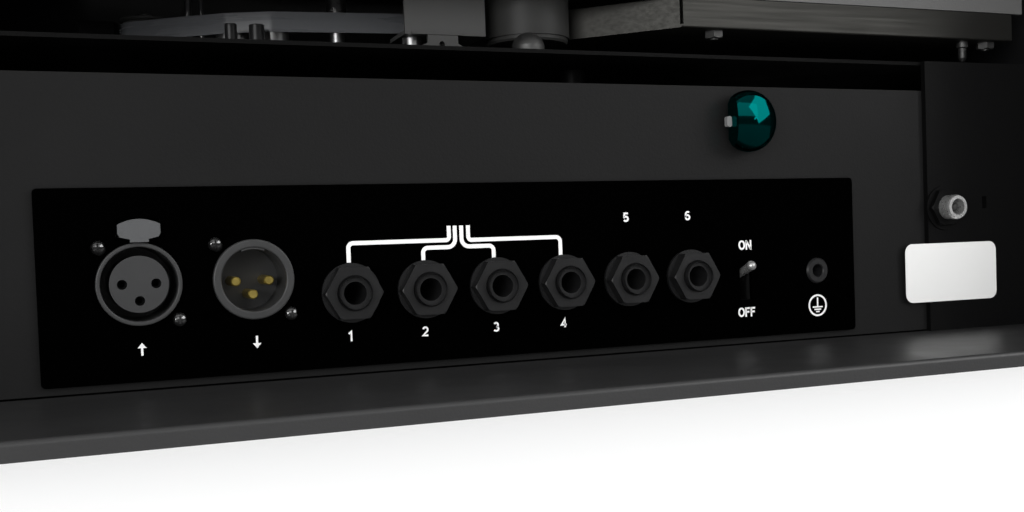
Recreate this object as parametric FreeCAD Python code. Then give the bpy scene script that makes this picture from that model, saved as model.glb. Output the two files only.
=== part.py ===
import FreeCAD, Part
import math
import os
from FreeCAD import Vector

# Rack-mounted tape echo unit. Millimetres, +Z up, the front panel faces -Y and the connector
# panel faces +Y. The origin is at the bottom centre of the whole unit.

# ---------------------------------------------------------------- driving dimensions
RACK_WIDTH = 482.6
PANEL_HEIGHT = 177.0
PANEL_THICKNESS = 3.0
SLOT_SPACING_X = 465.1
SLOT_SPACING_Z = 101.6
SLOT_HEIGHT = 6.8
SLOT_LENGTH = 10.0

CHASSIS_WIDTH = 440.0
CHASSIS_DEPTH = 327.0
KNOB_REACH = 17.0
SHEET = 1.5
FLOOR_TOP = 4.4
COVER_UNDER = 170.0
REAR_RECESS = 70.9
FLANGE = 12.0

FRONT_FACE_Y = -(PANEL_THICKNESS + CHASSIS_DEPTH + KNOB_REACH) / 2 + KNOB_REACH
FRONT_INNER_Y = FRONT_FACE_Y + PANEL_THICKNESS
REAR_EDGE_Y = FRONT_INNER_Y + CHASSIS_DEPTH
REAR_FACE_Y = REAR_EDGE_Y - REAR_RECESS
WALL_OUT = CHASSIS_WIDTH / 2
WALL_IN = WALL_OUT - SHEET
PANEL_END = WALL_IN - 0.2

REAR_PANEL_TOP = 88.4
REAR_PANEL_THICK = 2.0
REAR_INNER_Y = REAR_FACE_Y - REAR_PANEL_THICK
POWER_EDGE_X = -159.2
POWER_THICK = 2.0
POWER_FACE_Y = REAR_FACE_Y + POWER_THICK

PLATE_X = (-127.35, 128.45)
PLATE_LOW = 6.95
PLATE_HIGH = 58.35
PLATE_THICK = 1.5
PLATE_CORNER = 1.3
PLATE_FACE_Y = REAR_FACE_Y + PLATE_THICK

# audio connectors
AUDIO_Z = 32.8
INPUT_X = 103.4
OUTPUT_X = 73.6
NOSE_R = 10.95
NOSE_HOLE_R = 11.05
NOSE_FRONT_Y = REAR_FACE_Y + 3.0
INPUT_GAP_R = 9.8
INSERT_R = 7.5
CONTACT_HOLE_R = 1.3
HOLE_PLACES = [(-4.3, 0.05), (4.3, 0.05), (0.0, -4.4)]
LATCH_X = 103.0
OUTPUT_BORE_R = 8.7
OUTPUT_DEPTH = 15.0
CATCH_R = 8.25
PIN_R = 1.35
PIN_SETBACK = 3.0
PIN_PLACES = [(-4.45, -0.45), (4.55, -0.45), (0.05, -4.15)]
SCREW_HEAD_R = 2.15
SCREW_OFFSET = 9.9
SOCKET_BACK_Y = REAR_INNER_Y - 21.0

# jacks
JACK_X = [46.7 - 22.0 * n for n in range(6)]
JACK_Z = 27.8
JACK_BORE_R = 3.25
JACK_BUSH_R = 4.55
JACK_BUSH_OUT = 6.8
JACK_NUT_FLATS = 14.4
JACK_NUT_OUT = 5.0
JACK_WASHER_R = 8.4
JACK_PANEL_R = 4.75

# stop switch, earth socket, power inlet, rear knob
STOP_X = -84.2
STOP_Z = 25.25
STOP_SLOT = (4.6, 12.3)
STOP_TILT = 20.5
STOP_PIVOT_Y = REAR_INNER_Y - 6.6
LEVER_PIN_R = 0.8
EARTH_X = -112.2
EARTH_Z = 27.55
EARTH_HOLE_R = 4.4
EARTH_BORE_R = 2.0
INLET_X = -166.1
INLET_Z = 47.4
INLET_BORE_R = 2.8
REAR_KNOB_X = -84.75
REAR_KNOB_Z = 76.7
REAR_KNOB_R = 9.85
REAR_KNOB_FRONT = 9.2
REAR_KNOB_FLAT = 6.1

# tape deck
DECK_LOW = 97.2
DECK_TOP = 98.4
DECK_FRONT_Y = -100.0
TRAY_LOW = 106.9
TRAY_TOP = 116.6
TRAY_SHEET = 1.0
TRAY_LEFT_X = -201.2
TRAY_RIGHT_X = -36.6
TRAY_FRONT_Y = -92.0
TRAY_BEVEL = 27.5
TRAY_SEAM = 1.2
TAPE_WIDTH = 6.35
TAPE_LOW = 109.4
TAPE_THICK = 0.3
TAPE_REAR_Y = 62.3
TAPE_SIDE_X = 101.0
TAPE_FRONT_Y = -72.0
TAPE_GAP = 0.35
DRUM_X = -21.5
DRUM_Y = 76.6
DRUM_R = DRUM_Y - TAPE_REAR_Y - TAPE_THICK / 2 - TAPE_GAP
CAPSTAN_R = 3.0
CAPSTAN_Y = -42.0
CAPSTAN_X = TAPE_SIDE_X - TAPE_THICK / 2 - TAPE_GAP - CAPSTAN_R
PINCH_R = 9.0
PINCH_X = TAPE_SIDE_X + TAPE_THICK / 2 + TAPE_GAP + PINCH_R
PINCH_PIVOT = (130.0, -70.0)
PINCH_TAIL = 15.0
SPRING_POST_X = 156.0
CORNER_R = 7.5
CORNER_X = TAPE_SIDE_X - TAPE_THICK / 2 - TAPE_GAP - CORNER_R
CORNER_REAR_Y = 26.56
CORNER_FRONT_Y = TAPE_FRONT_Y + TAPE_THICK / 2 + TAPE_GAP + CORNER_R
TAPE_CORNER_Y = 30.5
TAPE_BENDS = [(18.0, TAPE_REAR_Y, 9.0), (57.5, 57.7, 5.5), (71.0, 52.2, 5.5), (85.0, 42.8, 20.0)]
BEND_POSTS = [(56.12, 52.32), (68.40, 47.32)]
BEND_POST_R = 5.0
MOTOR_X = 165.0
FLYWHEEL_R = 38.0
PULLEY_R = 8.0
BELT_Z = 87.0
RUNNING = 0.05

# front controls: name, x, z, rim radius
CONTROL_KNOBS = [
    ("input_knob", -145.0, 44.0, 12.0),
    ("bass_knob", -52.0, 128.0, 12.0),
    ("treble_knob", 4.0, 128.0, 12.0),
    ("reverb_knob", 60.0, 128.0, 12.0),
    ("rate_knob", -52.0, 50.0, 15.0),
    ("intensity_knob", 4.0, 50.0, 15.0),
    ("echo_knob", 60.0, 50.0, 15.0),
]
SELECTOR_X = 150.0
SELECTOR_Z = 86.0
SELECTOR_R = 22.0
SHAFT_R = 3.0
METER_X = -145.0
METER_Z = 118.0
METER_SIZE = (70.0, 50.0)
NEEDLE_Z = METER_Z - 13.0
NEEDLE_LENGTH = 27.0
POWER_X = -196.0
POWER_Z = 44.0
TOGGLE_TILT = 12.0
POWER_PIVOT_Y = FRONT_FACE_Y + 1.0

# tape lid in the top cover
LID_X = (-214.0, 189.0)
LID_Y = (-99.0, 107.7)
LID_LAP = 6.0
APRON_LOW = TRAY_TOP + 0.3
APRON_END = WALL_IN - FLANGE - 0.3
LID_LOW = COVER_UNDER + SHEET + 0.3
HINGE_Y = 110.0
HINGE_Z = COVER_UNDER + SHEET + 2.1
KNUCKLE_R = 2.0
HINGE_PIN_R = 1.0


# ---------------------------------------------------------------- helpers
def box(x, y, z):
    """Block between two x, two y and two z values."""
    return Part.makeBox(x[1] - x[0], y[1] - y[0], z[1] - z[0], Vector(x[0], y[0], z[0]))


def post(x, y, low, high, radius):
    """Upright round bar."""
    return Part.makeCylinder(radius, high - low, Vector(x, y, low), Vector(0, 0, 1))


def rod_y(x, z, start, end, radius):
    """Round bar along +Y."""
    return Part.makeCylinder(radius, end - start, Vector(x, start, z), Vector(0, 1, 0))


def rod_x(y, z, start, end, radius):
    """Round bar along +X."""
    return Part.makeCylinder(radius, end - start, Vector(start, y, z), Vector(1, 0, 0))


def prism(points, low, high):
    """Upright prism over a closed outline of (x, y) points."""
    corners = [Vector(x, y, low) for x, y in points]
    face = Part.Face(Part.makePolygon(corners + corners[:1]))
    return face.extrude(Vector(0, 0, high - low))


def slab_y(points, start, end):
    """Prism along +Y over a closed outline of (x, z) points."""
    corners = [Vector(x, start, z) for x, z in points]
    face = Part.Face(Part.makePolygon(corners + corners[:1]))
    return face.extrude(Vector(0, end - start, 0))


def hex_prism(flats, low, high):
    """Hexagonal prism on the Z axis, with corners on the X axis."""
    reach = flats / math.sqrt(3)
    points = [(reach * math.cos(math.radians(60 * n)), reach * math.sin(math.radians(60 * n)))
              for n in range(6)]
    return prism(points, low, high)


def lathe(outline):
    """Turned solid about the Z axis. Entries are (radius, height); an entry with a third
    value is the middle point of an arc between its neighbours."""
    edges = []
    start = Vector(outline[0][0], 0, outline[0][1])
    middle = None
    for entry in outline[1:] + outline[:1]:
        point = Vector(entry[0], 0, entry[1])
        if len(entry) == 3:
            middle = point
            continue
        if middle is None:
            edges.append(Part.LineSegment(start, point).toShape())
        else:
            edges.append(Part.Arc(start, middle, point).toShape())
        start, middle = point, None
    face = Part.Face(Part.Wire(edges))
    return face.revolve(Vector(0, 0, 0), Vector(0, 0, 1), 360)


def crown(radius, low, high):
    """Lathe entries of a spherical cap that closes on the axis."""
    ball = (radius ** 2 + (high - low) ** 2) / (2 * (high - low))
    half_angle = math.asin(radius / ball) / 2
    middle = (ball * math.sin(half_angle), high - ball + ball * math.cos(half_angle), "arc")
    return [(radius, low), middle, (0, high)]


def rearward(shape, x, y, z):
    """Turn a shape's +Z to +Y and put its origin at a point."""
    placed = shape.copy()
    placed.rotate(Vector(0, 0, 0), Vector(1, 0, 0), -90)
    placed.translate(Vector(x, y, z))
    return placed


def forward(shape, x, y, z):
    """Turn a shape's +Z to -Y and put its origin at a point."""
    placed = shape.copy()
    placed.rotate(Vector(0, 0, 0), Vector(1, 0, 0), 90)
    placed.translate(Vector(x, y, z))
    return placed


def at(shape, x, y, z):
    """Copy of a shape moved to a point."""
    placed = shape.copy()
    placed.translate(Vector(x, y, z))
    return placed


def fuse(first, *others):
    """One solid from touching solids, without seams."""
    return first.fuse(list(others)).removeSplitter()


def cut(body, *tools):
    """Body less all tools."""
    return body.cut(list(tools))


def round_edges(shape, radius, wanted):
    """Round the edges for which wanted(edge) is true."""
    return shape.makeFillet(radius, [edge for edge in shape.Edges if wanted(edge)])


def runs_along(edge, axis):
    """True for a straight edge parallel to a unit vector."""
    if not isinstance(edge.Curve, (Part.Line, Part.LineSegment)):
        return False
    way = edge.Vertexes[1].Point - edge.Vertexes[0].Point
    return way.cross(axis).Length < 1e-6


# ---------------------------------------------------------------- casing
def floor_pan():
    pan = box((-WALL_OUT, WALL_OUT), (FRONT_INNER_Y, REAR_EDGE_Y), (0, FLOOR_TOP))
    hollow = box((-WALL_IN, WALL_IN), (FRONT_INNER_Y + SHEET, REAR_EDGE_Y - SHEET),
                 (0, FLOOR_TOP - SHEET))
    pan = cut(pan, hollow)

    def rear_bend(edge):
        centre = edge.CenterOfMass
        on_edge = abs(centre.y - REAR_EDGE_Y) < 0.1 and abs(centre.z - FLOOR_TOP) < 0.1
        return on_edge and runs_along(edge, Vector(1, 0, 0))

    return round_edges(pan, 1.2, rear_bend)


def side_wall(side):
    """Folded sheet with inward flanges and a row of ventilation slots."""
    def across(inner, outer):
        return tuple(sorted((side * inner, side * outer)))

    flange_x = across(WALL_IN - FLANGE, WALL_IN)
    wall = fuse(
        box(across(WALL_IN, WALL_OUT), (FRONT_INNER_Y, REAR_EDGE_Y), (FLOOR_TOP, COVER_UNDER)),
        box(flange_x, (FRONT_INNER_Y, REAR_INNER_Y), (FLOOR_TOP, FLOOR_TOP + SHEET)),
        box(flange_x, (REAR_INNER_Y - SHEET, REAR_INNER_Y), (FLOOR_TOP, REAR_PANEL_TOP)),
        box(flange_x, (FRONT_INNER_Y, REAR_EDGE_Y), (COVER_UNDER - SHEET, COVER_UNDER)),
        box(flange_x, (FRONT_INNER_Y, FRONT_INNER_Y + SHEET),
            (FLOOR_TOP, COVER_UNDER)))
    slots = [box(across(WALL_IN - 1, WALL_OUT + 1), (y, y + 3), (24, 64))
             for y in range(-110, 51, 10)]
    return cut(wall, *slots)


def rack_slot(x, z):
    half = SLOT_LENGTH / 2 - SLOT_HEIGHT / 2
    reach = (FRONT_FACE_Y - 1, FRONT_INNER_Y + 1)
    middle = box((x - half, x + half), reach, (z - SLOT_HEIGHT / 2, z + SLOT_HEIGHT / 2))
    ends = [rod_y(x + s * half, z, reach[0], reach[1], SLOT_HEIGHT / 2) for s in (-1, 1)]
    return fuse(middle, *ends)


def front_panel():
    half = RACK_WIDTH / 2
    panel = box((-half, half), (FRONT_FACE_Y, FRONT_INNER_Y), (0, PANEL_HEIGHT))
    panel = round_edges(panel, 1.0, lambda edge: abs(edge.CenterOfMass.y - FRONT_FACE_Y) < 0.1)
    middle = PANEL_HEIGHT / 2
    holes = [rack_slot(sx * SLOT_SPACING_X / 2, middle + sz * SLOT_SPACING_Z / 2)
             for sx in (-1, 1) for sz in (-1, 1)]
    reach = (FRONT_FACE_Y - 1, FRONT_INNER_Y + 1)
    holes += [rod_y(x, z, reach[0], reach[1], 3.7) for _, x, z, _ in CONTROL_KNOBS]
    holes.append(rod_y(SELECTOR_X, SELECTOR_Z, reach[0], reach[1], 3.7))
    holes.append(rod_y(POWER_X, POWER_Z, reach[0], reach[1], 6.0))
    wide, tall = METER_SIZE[0] / 2 - 1.5, METER_SIZE[1] / 2 - 1.5
    holes.append(box((METER_X - wide - 0.2, METER_X + wide + 0.2), reach,
                     (METER_Z - tall - 0.2, METER_Z + tall + 0.2)))
    return cut(panel, *holes)


def top_cover():
    """Wrap-over sheet with side flanges, a rear lip, an apron that closes the back of the deck
    above the tray, the tape opening and front vents."""
    top = COVER_UNDER + SHEET
    outer = WALL_OUT + SHEET
    sheet = box((-outer, outer), (FRONT_INNER_Y, REAR_EDGE_Y), (COVER_UNDER, top))
    cover = fuse(
        sheet,
        box((-outer, -WALL_OUT), (FRONT_INNER_Y, REAR_EDGE_Y), (top - 20, top)),
        box((WALL_OUT, outer), (FRONT_INNER_Y, REAR_EDGE_Y), (top - 20, top)),
        box((-WALL_IN + FLANGE, WALL_IN - FLANGE), (REAR_EDGE_Y - SHEET, REAR_EDGE_Y),
            (top - 10, top)),
        box((-APRON_END, APRON_END), (REAR_FACE_Y - SHEET, REAR_FACE_Y), (APRON_LOW, top)))
    opening = box((LID_X[0] + LID_LAP, LID_X[1] - LID_LAP),
                  (LID_Y[0] + LID_LAP, LID_Y[1] - LID_LAP - 3), (COVER_UNDER - 1, top + 1))
    vents = [box((x, x + 3), (-138, -110), (COVER_UNDER - 1, top + 1))
             for x in range(-100, 101, 10)]
    return cut(cover, opening, *vents)


def moving_knuckles():
    """X ranges of the hinge knuckles that turn with the lid."""
    return [(x, x + 16.0) for x in (-180.0, -60.0, 60.0, 148.0)]


def fixed_knuckles():
    """X ranges of the hinge knuckles on the cover, one each side of every moving knuckle."""
    ranges = []
    for low, high in moving_knuckles():
        ranges.append((low - 16.3, low - 0.3))
        ranges.append((high + 0.3, high + 16.3))
    return ranges


def tape_lid():
    plate = box(LID_X, LID_Y, (LID_LOW, LID_LOW + SHEET))
    plate = round_edges(plate, 6.0, lambda edge: runs_along(edge, Vector(0, 0, 1))
                        and edge.CenterOfMass.y < 0)
    lid = plate
    for low, high in moving_knuckles():
        leaf = box((low, high), (LID_Y[1] - 1, HINGE_Y), (LID_LOW, LID_LOW + 0.8))
        barrel = rod_x(HINGE_Y, HINGE_Z, low, high, KNUCKLE_R)
        lid = fuse(lid, leaf, barrel)
    bore = rod_x(HINGE_Y, HINGE_Z, LID_X[0], LID_X[1], HINGE_PIN_R + RUNNING)
    lid = cut(lid, bore)
    grip = box((-30, 6), (LID_Y[0] - 1, LID_Y[0] + 7), (LID_LOW - 1, LID_LOW + SHEET + 1))
    notch = round_edges(grip, 6.0, lambda edge: runs_along(edge, Vector(0, 0, 1))
                        and edge.CenterOfMass.y > LID_Y[0])
    return cut(lid, notch)


def lid_hinge():
    """Fixed leaf with its knuckles and the hinge pin."""
    top = COVER_UNDER + SHEET
    pieces = []
    ranges = fixed_knuckles()
    low, high = ranges[0][0], ranges[-1][1]
    leaf = box((low, high), (HINGE_Y + KNUCKLE_R, HINGE_Y + 12), (top, top + 0.8))
    pin = rod_x(HINGE_Y, HINGE_Z, low, high, HINGE_PIN_R)
    for start, end in ranges:
        pieces.append(rod_x(HINGE_Y, HINGE_Z, start, end, KNUCKLE_R))
        pieces.append(box((start, end), (HINGE_Y, HINGE_Y + KNUCKLE_R + 1), (top, top + 0.8)))
    return fuse(leaf, pin, *pieces)


def nose_hole(x, start, end):
    return rod_y(x, AUDIO_Z, start, end, NOSE_HOLE_R)


def latch_slot(start, end):
    return box((LATCH_X - 5.65, LATCH_X + 5.65), (start, end), (44.5, 50.2))


def panel_openings(start, end):
    """Cut-outs that the rear panel and the jack plate share."""
    tools = [nose_hole(INPUT_X, start, end), nose_hole(OUTPUT_X, start, end)]
    tools.append(latch_slot(start, end))
    tools += [rod_y(x, JACK_Z, start, end, JACK_PANEL_R) for x in JACK_X]
    half_x, half_z = STOP_SLOT[0] / 2, STOP_SLOT[1] / 2
    tools.append(box((STOP_X - half_x, STOP_X + half_x), (start, end),
                     (STOP_Z - half_z, STOP_Z + half_z)))
    tools.append(rod_y(EARTH_X, EARTH_Z, start, end, EARTH_HOLE_R))
    for x in (INPUT_X, OUTPUT_X):
        for side in (-1, 1):
            tools.append(rod_y(x + side * SCREW_OFFSET, AUDIO_Z + side * SCREW_OFFSET,
                               start, end, 1.5))
    return tools


def rear_panel():
    plate = box((-PANEL_END, PANEL_END), (REAR_INNER_Y, REAR_FACE_Y),
                (FLOOR_TOP, REAR_PANEL_TOP))
    reach = (REAR_INNER_Y - 1, REAR_FACE_Y + 1)
    knob_hole = rod_y(REAR_KNOB_X, REAR_KNOB_Z, reach[0], reach[1], 3.7)
    inlet_hole = rod_y(INLET_X, INLET_Z, reach[0], reach[1], 4.3)
    return cut(plate, knob_hole, inlet_hole, *panel_openings(reach[0], reach[1]))


def power_panel():
    """Plate over the left end of the rear panel, as tall as the deck."""
    plate = box((-PANEL_END, POWER_EDGE_X), (REAR_FACE_Y, POWER_FACE_Y), (FLOOR_TOP, DECK_TOP))
    reach = (REAR_FACE_Y - 1, POWER_FACE_Y + 1)
    inlet_hole = rod_y(INLET_X, INLET_Z, reach[0], reach[1], 4.3)
    tell_tale = box((-185.6, -183.4), reach, (46.9, 51.1))
    return cut(plate, inlet_hole, tell_tale)


def jack_plate():
    plate = box(PLATE_X, (REAR_FACE_Y, PLATE_FACE_Y), (PLATE_LOW, PLATE_HIGH))
    plate = round_edges(plate, PLATE_CORNER, lambda edge: runs_along(edge, Vector(0, 1, 0)))
    return cut(plate, *panel_openings(REAR_FACE_Y - 1, PLATE_FACE_Y + 1))


# ---------------------------------------------------------------- rear connectors
def socket_block(x):
    """Moulded block behind the panel that carries a round nose."""
    return box((x - 13, x + 13), (SOCKET_BACK_Y, REAR_INNER_Y), (AUDIO_Z - 13, AUDIO_Z + 11.4))


def screw_holes(x):
    return [rod_y(x + side * SCREW_OFFSET, AUDIO_Z + side * SCREW_OFFSET, REAR_INNER_Y - 8,
                  REAR_INNER_Y + 1, 1.1) for side in (-1, 1)]


def input_shell():
    nose = rod_y(INPUT_X, AUDIO_Z, REAR_INNER_Y - 1, NOSE_FRONT_Y, NOSE_R)
    well = rod_y(INPUT_X, AUDIO_Z, SOCKET_BACK_Y + 3, NOSE_FRONT_Y + 1, INPUT_GAP_R)
    shell = cut(fuse(socket_block(INPUT_X), nose), well, *screw_holes(INPUT_X))

    def mouth(edge):
        return abs(edge.CenterOfMass.y - NOSE_FRONT_Y) < 0.01

    return round_edges(shell, 0.35, mouth)


def input_insert():
    insert = rod_y(INPUT_X, AUDIO_Z, SOCKET_BACK_Y + 3, NOSE_FRONT_Y - 1.0, INSERT_R)
    holes = [rod_y(INPUT_X + dx, AUDIO_Z + dz, NOSE_FRONT_Y - 13, NOSE_FRONT_Y, CONTACT_HOLE_R)
             for dx, dz in HOLE_PLACES]
    return cut(insert, *holes)


def input_latch():
    """Release tab with an arched top that slides into the panel; its neck ends above the ring."""
    front = NOSE_FRONT_Y + 1.5
    side, shoulder, crown_z, foot = 5.35, 48.5, 49.9, 46.1
    arch = Part.Arc(Vector(side, 0, shoulder), Vector(0, 0, crown_z),
                    Vector(-side, 0, shoulder)).toShape()
    lower = Part.makePolygon([Vector(-side, 0, shoulder), Vector(-side, 0, foot),
                              Vector(-side + 0.5, 0, foot - 0.9), Vector(-2.5, 0, 44.65),
                              Vector(2.5, 0, 44.65), Vector(side - 0.5, 0, foot - 0.9),
                              Vector(side, 0, foot), Vector(side, 0, shoulder)])
    tab = Part.Face(Part.Wire([arch] + lower.Edges)).extrude(Vector(0, front - REAR_INNER_Y + 8, 0))
    tab.translate(Vector(LATCH_X, REAR_INNER_Y - 8, 0))
    neck = box((LATCH_X - 2.35, LATCH_X + 2.35), (front - 0.6, front), (43.85, 45.5))
    return fuse(tab, neck)


def output_shell():
    """Ring and its block, with a shallow well and the catch at the top of the ring."""
    nose = rod_y(OUTPUT_X, AUDIO_Z, REAR_INNER_Y - 1, NOSE_FRONT_Y, NOSE_R)
    well = rod_y(OUTPUT_X, AUDIO_Z, NOSE_FRONT_Y - OUTPUT_DEPTH, NOSE_FRONT_Y + 1, OUTPUT_BORE_R)
    shell = cut(fuse(socket_block(OUTPUT_X), nose), well, *screw_holes(OUTPUT_X))
    reach = (NOSE_FRONT_Y - 3.0, NOSE_FRONT_Y - 0.6)
    catch = cut(rod_y(OUTPUT_X, AUDIO_Z, reach[0], reach[1], OUTPUT_BORE_R + 0.2),
                rod_y(OUTPUT_X, AUDIO_Z, reach[0] - 1, reach[1] + 1, CATCH_R))
    catch = catch.common(box((OUTPUT_X - 3.1, OUTPUT_X + 3.1), reach, (AUDIO_Z, AUDIO_Z + 10)))
    shell = fuse(shell, catch)

    def mouth(edge):
        return abs(edge.CenterOfMass.y - NOSE_FRONT_Y) < 0.01

    return round_edges(shell, 0.5, mouth)


def output_pins():
    base = NOSE_FRONT_Y - OUTPUT_DEPTH
    reach = OUTPUT_DEPTH - PIN_SETBACK
    pin = lathe([(0, 0), (PIN_R, 0), (PIN_R, reach - 0.3), (PIN_R - 0.3, reach), (0, reach)])
    return Part.makeCompound([rearward(pin, OUTPUT_X + dx, base, AUDIO_Z + dz)
                              for dx, dz in PIN_PLACES])


def connector_screws():
    """Four domed screws through the jack plate into the two connector blocks."""
    screw = lathe([(0, -11), (1.1, -11), (1.1, 0), (SCREW_HEAD_R, 0)]
                  + crown(SCREW_HEAD_R, 0.4, 1.6))
    slots = [box((-1.1, 1.1), (-0.25, 0.25), (0.9, 2)), box((-0.25, 0.25), (-1.1, 1.1), (0.9, 2))]
    screw = cut(screw, *slots)
    return Part.makeCompound([
        rearward(screw, x + side * SCREW_OFFSET, PLATE_FACE_Y, AUDIO_Z + side * SCREW_OFFSET)
        for x in (INPUT_X, OUTPUT_X) for side in (1, -1)])


def jack_bodies():
    """Moulded jack bodies with their threaded bushes and plug bores."""
    front = REAR_FACE_Y + JACK_BUSH_OUT
    back = SOCKET_BACK_Y
    jacks = []
    for x in JACK_X:
        block = box((x - 7, x + 7), (back, REAR_INNER_Y), (JACK_Z - 8, JACK_Z + 8))
        bush = rod_y(x, JACK_Z, REAR_INNER_Y - 1, front, JACK_BUSH_R)
        bore = rod_y(x, JACK_Z, back + 2, front + 1, JACK_BORE_R)
        jack = cut(fuse(block, bush), bore)
        jacks.append(jack)
    return Part.makeCompound(jacks)


def jack_nuts():
    """A flat washer and a hex nut on each bush."""
    thick = 1.0
    washer = lathe([(JACK_BUSH_R + 0.05, 0), (JACK_WASHER_R, 0), (JACK_WASHER_R, thick),
                    (JACK_BUSH_R + 0.05, thick)])
    nut = hex_prism(JACK_NUT_FLATS, thick, JACK_NUT_OUT)
    chamfer = lathe([(0, 0), (8.6, 0), (8.6, JACK_NUT_OUT - 0.4), (7.9, JACK_NUT_OUT),
                     (0, JACK_NUT_OUT)])
    hole = lathe([(0, 0), (JACK_BUSH_R + 0.05, 0), (JACK_BUSH_R + 0.05, JACK_NUT_OUT - 0.5),
                  (5.1, JACK_NUT_OUT), (5.1, JACK_NUT_OUT + 1), (0, JACK_NUT_OUT + 1)])
    nut = cut(nut.common(chamfer), hole)
    pieces = []
    for x in JACK_X:
        pieces.append(rearward(washer, x, PLATE_FACE_Y, JACK_Z))
        pieces.append(rearward(nut, x, PLATE_FACE_Y, JACK_Z))
    return Part.makeCompound(pieces)


def stop_switch_body():
    body = box((STOP_X - 6, STOP_X + 6), (REAR_INNER_Y - 16, REAR_INNER_Y),
               (STOP_Z - 10, STOP_Z + 10))
    half_x, half_z = STOP_SLOT[0] / 2, STOP_SLOT[1] / 2
    well = box((STOP_X - half_x, STOP_X + half_x), (REAR_INNER_Y - 12, REAR_INNER_Y + 1),
               (STOP_Z - half_z, STOP_Z + half_z))
    pin = rod_x(STOP_PIVOT_Y, STOP_Z, STOP_X - 4, STOP_X + 4, LEVER_PIN_R)
    return fuse(cut(body, well), pin)


def stop_switch_lever():
    """Metal bat, leaning up at rest, on a cross barrel behind the slot."""
    bat = lathe([(0, 0), (1.3, 0), (1.3, 10)] + crown(1.6, 14.6, 15.8))
    bat.rotate(Vector(0, 0, 0), Vector(1, 0, 0), -90 + STOP_TILT)
    bat.translate(Vector(STOP_X, STOP_PIVOT_Y, STOP_Z))
    return lever_on_pin(bat, STOP_X, STOP_PIVOT_Y, STOP_Z, 2.0)


def lever_on_pin(bat, x, y, z, half):
    """Adds a cross barrel to a lever and bores it for the pin that it tilts on."""
    barrel = rod_x(y, z, x - half, x + half, 1.8)
    return cut(fuse(bat, barrel), rod_x(y, z, x - 5, x + 5, LEVER_PIN_R + RUNNING))


def earth_socket():
    """Blind socket that fills its hole, with a collar behind the panel."""
    length = 15.6
    front = PLATE_FACE_Y + 0.6
    collar = length - (front - REAR_INNER_Y)
    nose = EARTH_HOLE_R - 0.15
    socket = lathe([(EARTH_BORE_R, 3), (EARTH_BORE_R, length - 0.3), (EARTH_BORE_R + 0.3, length),
                    (nose - 0.5, length), (nose, length - 0.5), (nose, collar), (6.0, collar),
                    (6.0, collar - 2), (3.1, collar - 2), (3.1, 0), (0, 0), (0, 3)])
    return rearward(socket, EARTH_X, front - length, EARTH_Z)


def power_inlet():
    """Round direct-current inlet: block behind the panel and a threaded barrel."""
    block = box((INLET_X - 6, INLET_X + 6), (REAR_INNER_Y - 14, REAR_INNER_Y),
                (INLET_Z - 6, INLET_Z + 6))
    front = POWER_FACE_Y + 7.0
    barrel = lathe([(0, 0), (4.2, 0), (4.2, 11.3), (3.9, 12.0), (3.3, 12.0), (0, 12.0)])
    barrel = rearward(barrel, INLET_X, front - 12.0, INLET_Z)
    bore = rod_y(INLET_X, INLET_Z, front - 10, front + 1, INLET_BORE_R)
    return cut(fuse(block, barrel), bore)


def power_inlet_nut():
    washer = lathe([(4.25, 0), (7.7, 0), (7.7, 0.6), (4.25, 0.6)])
    nut = hex_prism(12.0, 0.6, 2.3).common(lathe([(0, 0), (7.0, 0), (7.0, 1.8), (6.3, 2.3),
                                                  (0, 2.3)]))
    nut = cut(nut, post(0, 0, 0, 5, 4.25))
    return Part.makeCompound([rearward(washer, INLET_X, POWER_FACE_Y, INLET_Z),
                              rearward(nut, INLET_X, POWER_FACE_Y, INLET_Z)])


def domed_knob(rim, height):
    """Mushroom knob on the Z axis: waist, rounded rim and a low dome, bored for its shaft."""
    waist = 0.66 * rim
    widest = 0.44 * height
    cap = crown(0.70 * rim, 0.88 * height, height)
    return lathe([(SHAFT_R, 0), (waist, 0), (0.90 * rim, 0.12 * height, "arc"), (rim, widest),
                  (0.94 * rim, 0.72 * height, "arc")] + cap
                 + [(0, height - 2.5), (SHAFT_R, height - 2.5)])


def knob_with_shaft(rim, height, inside):
    """Knob and its shaft, which runs back inside the potentiometer."""
    shaft = post(0, 0, -inside, height - 2.5, SHAFT_R)
    return Part.makeCompound([domed_knob(rim, height), shaft])


def rear_knob():
    """Domed knob with one flat side, and its shaft."""
    base = 1.8
    rise = REAR_KNOB_FRONT - base
    turned = lathe([(SHAFT_R, 0), (6.0, 0), (6.0, 0.7), (8.4, 0.7), (REAR_KNOB_R, 2.5),
                    (REAR_KNOB_R, 3.2), (9.31, 4.92, "arc")] + crown(7.86, 6.02, rise)
                   + [(0, rise - 2.5), (SHAFT_R, rise - 2.5)])
    reach = (-REAR_KNOB_R, REAR_KNOB_R)
    knob = cut(turned, box((REAR_KNOB_FLAT, REAR_KNOB_R + 1), reach, (0.7, rise)))
    shaft = post(0, 0, -9, rise - 2.5, SHAFT_R)
    return rearward(Part.makeCompound([knob, shaft]), REAR_KNOB_X, REAR_FACE_Y + base,
                    REAR_KNOB_Z)


def front_knob(x, z, rim):
    base = 1.6
    knob = knob_with_shaft(rim, KNOB_REACH - base, 9)
    return forward(knob, x, FRONT_FACE_Y - base, z)


def potentiometers():
    """Rotary controls behind both panels; every shaft runs in its bush."""
    def pot(bush):
        bore = SHAFT_R + RUNNING
        return lathe([(0, 0), (8, 0), (8, 9), (3.5, 9), (3.5, 9 + bush), (bore, 9 + bush),
                      (bore, 2), (0, 2)])

    pieces = [rearward(pot(3.2), REAR_KNOB_X, REAR_INNER_Y - 9, REAR_KNOB_Z)]
    places = [(x, z) for _, x, z, _ in CONTROL_KNOBS] + [(SELECTOR_X, SELECTOR_Z)]
    for x, z in places:
        pieces.append(forward(pot(4.0), x, FRONT_INNER_Y + 9, z))
    return Part.makeCompound(pieces)


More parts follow.
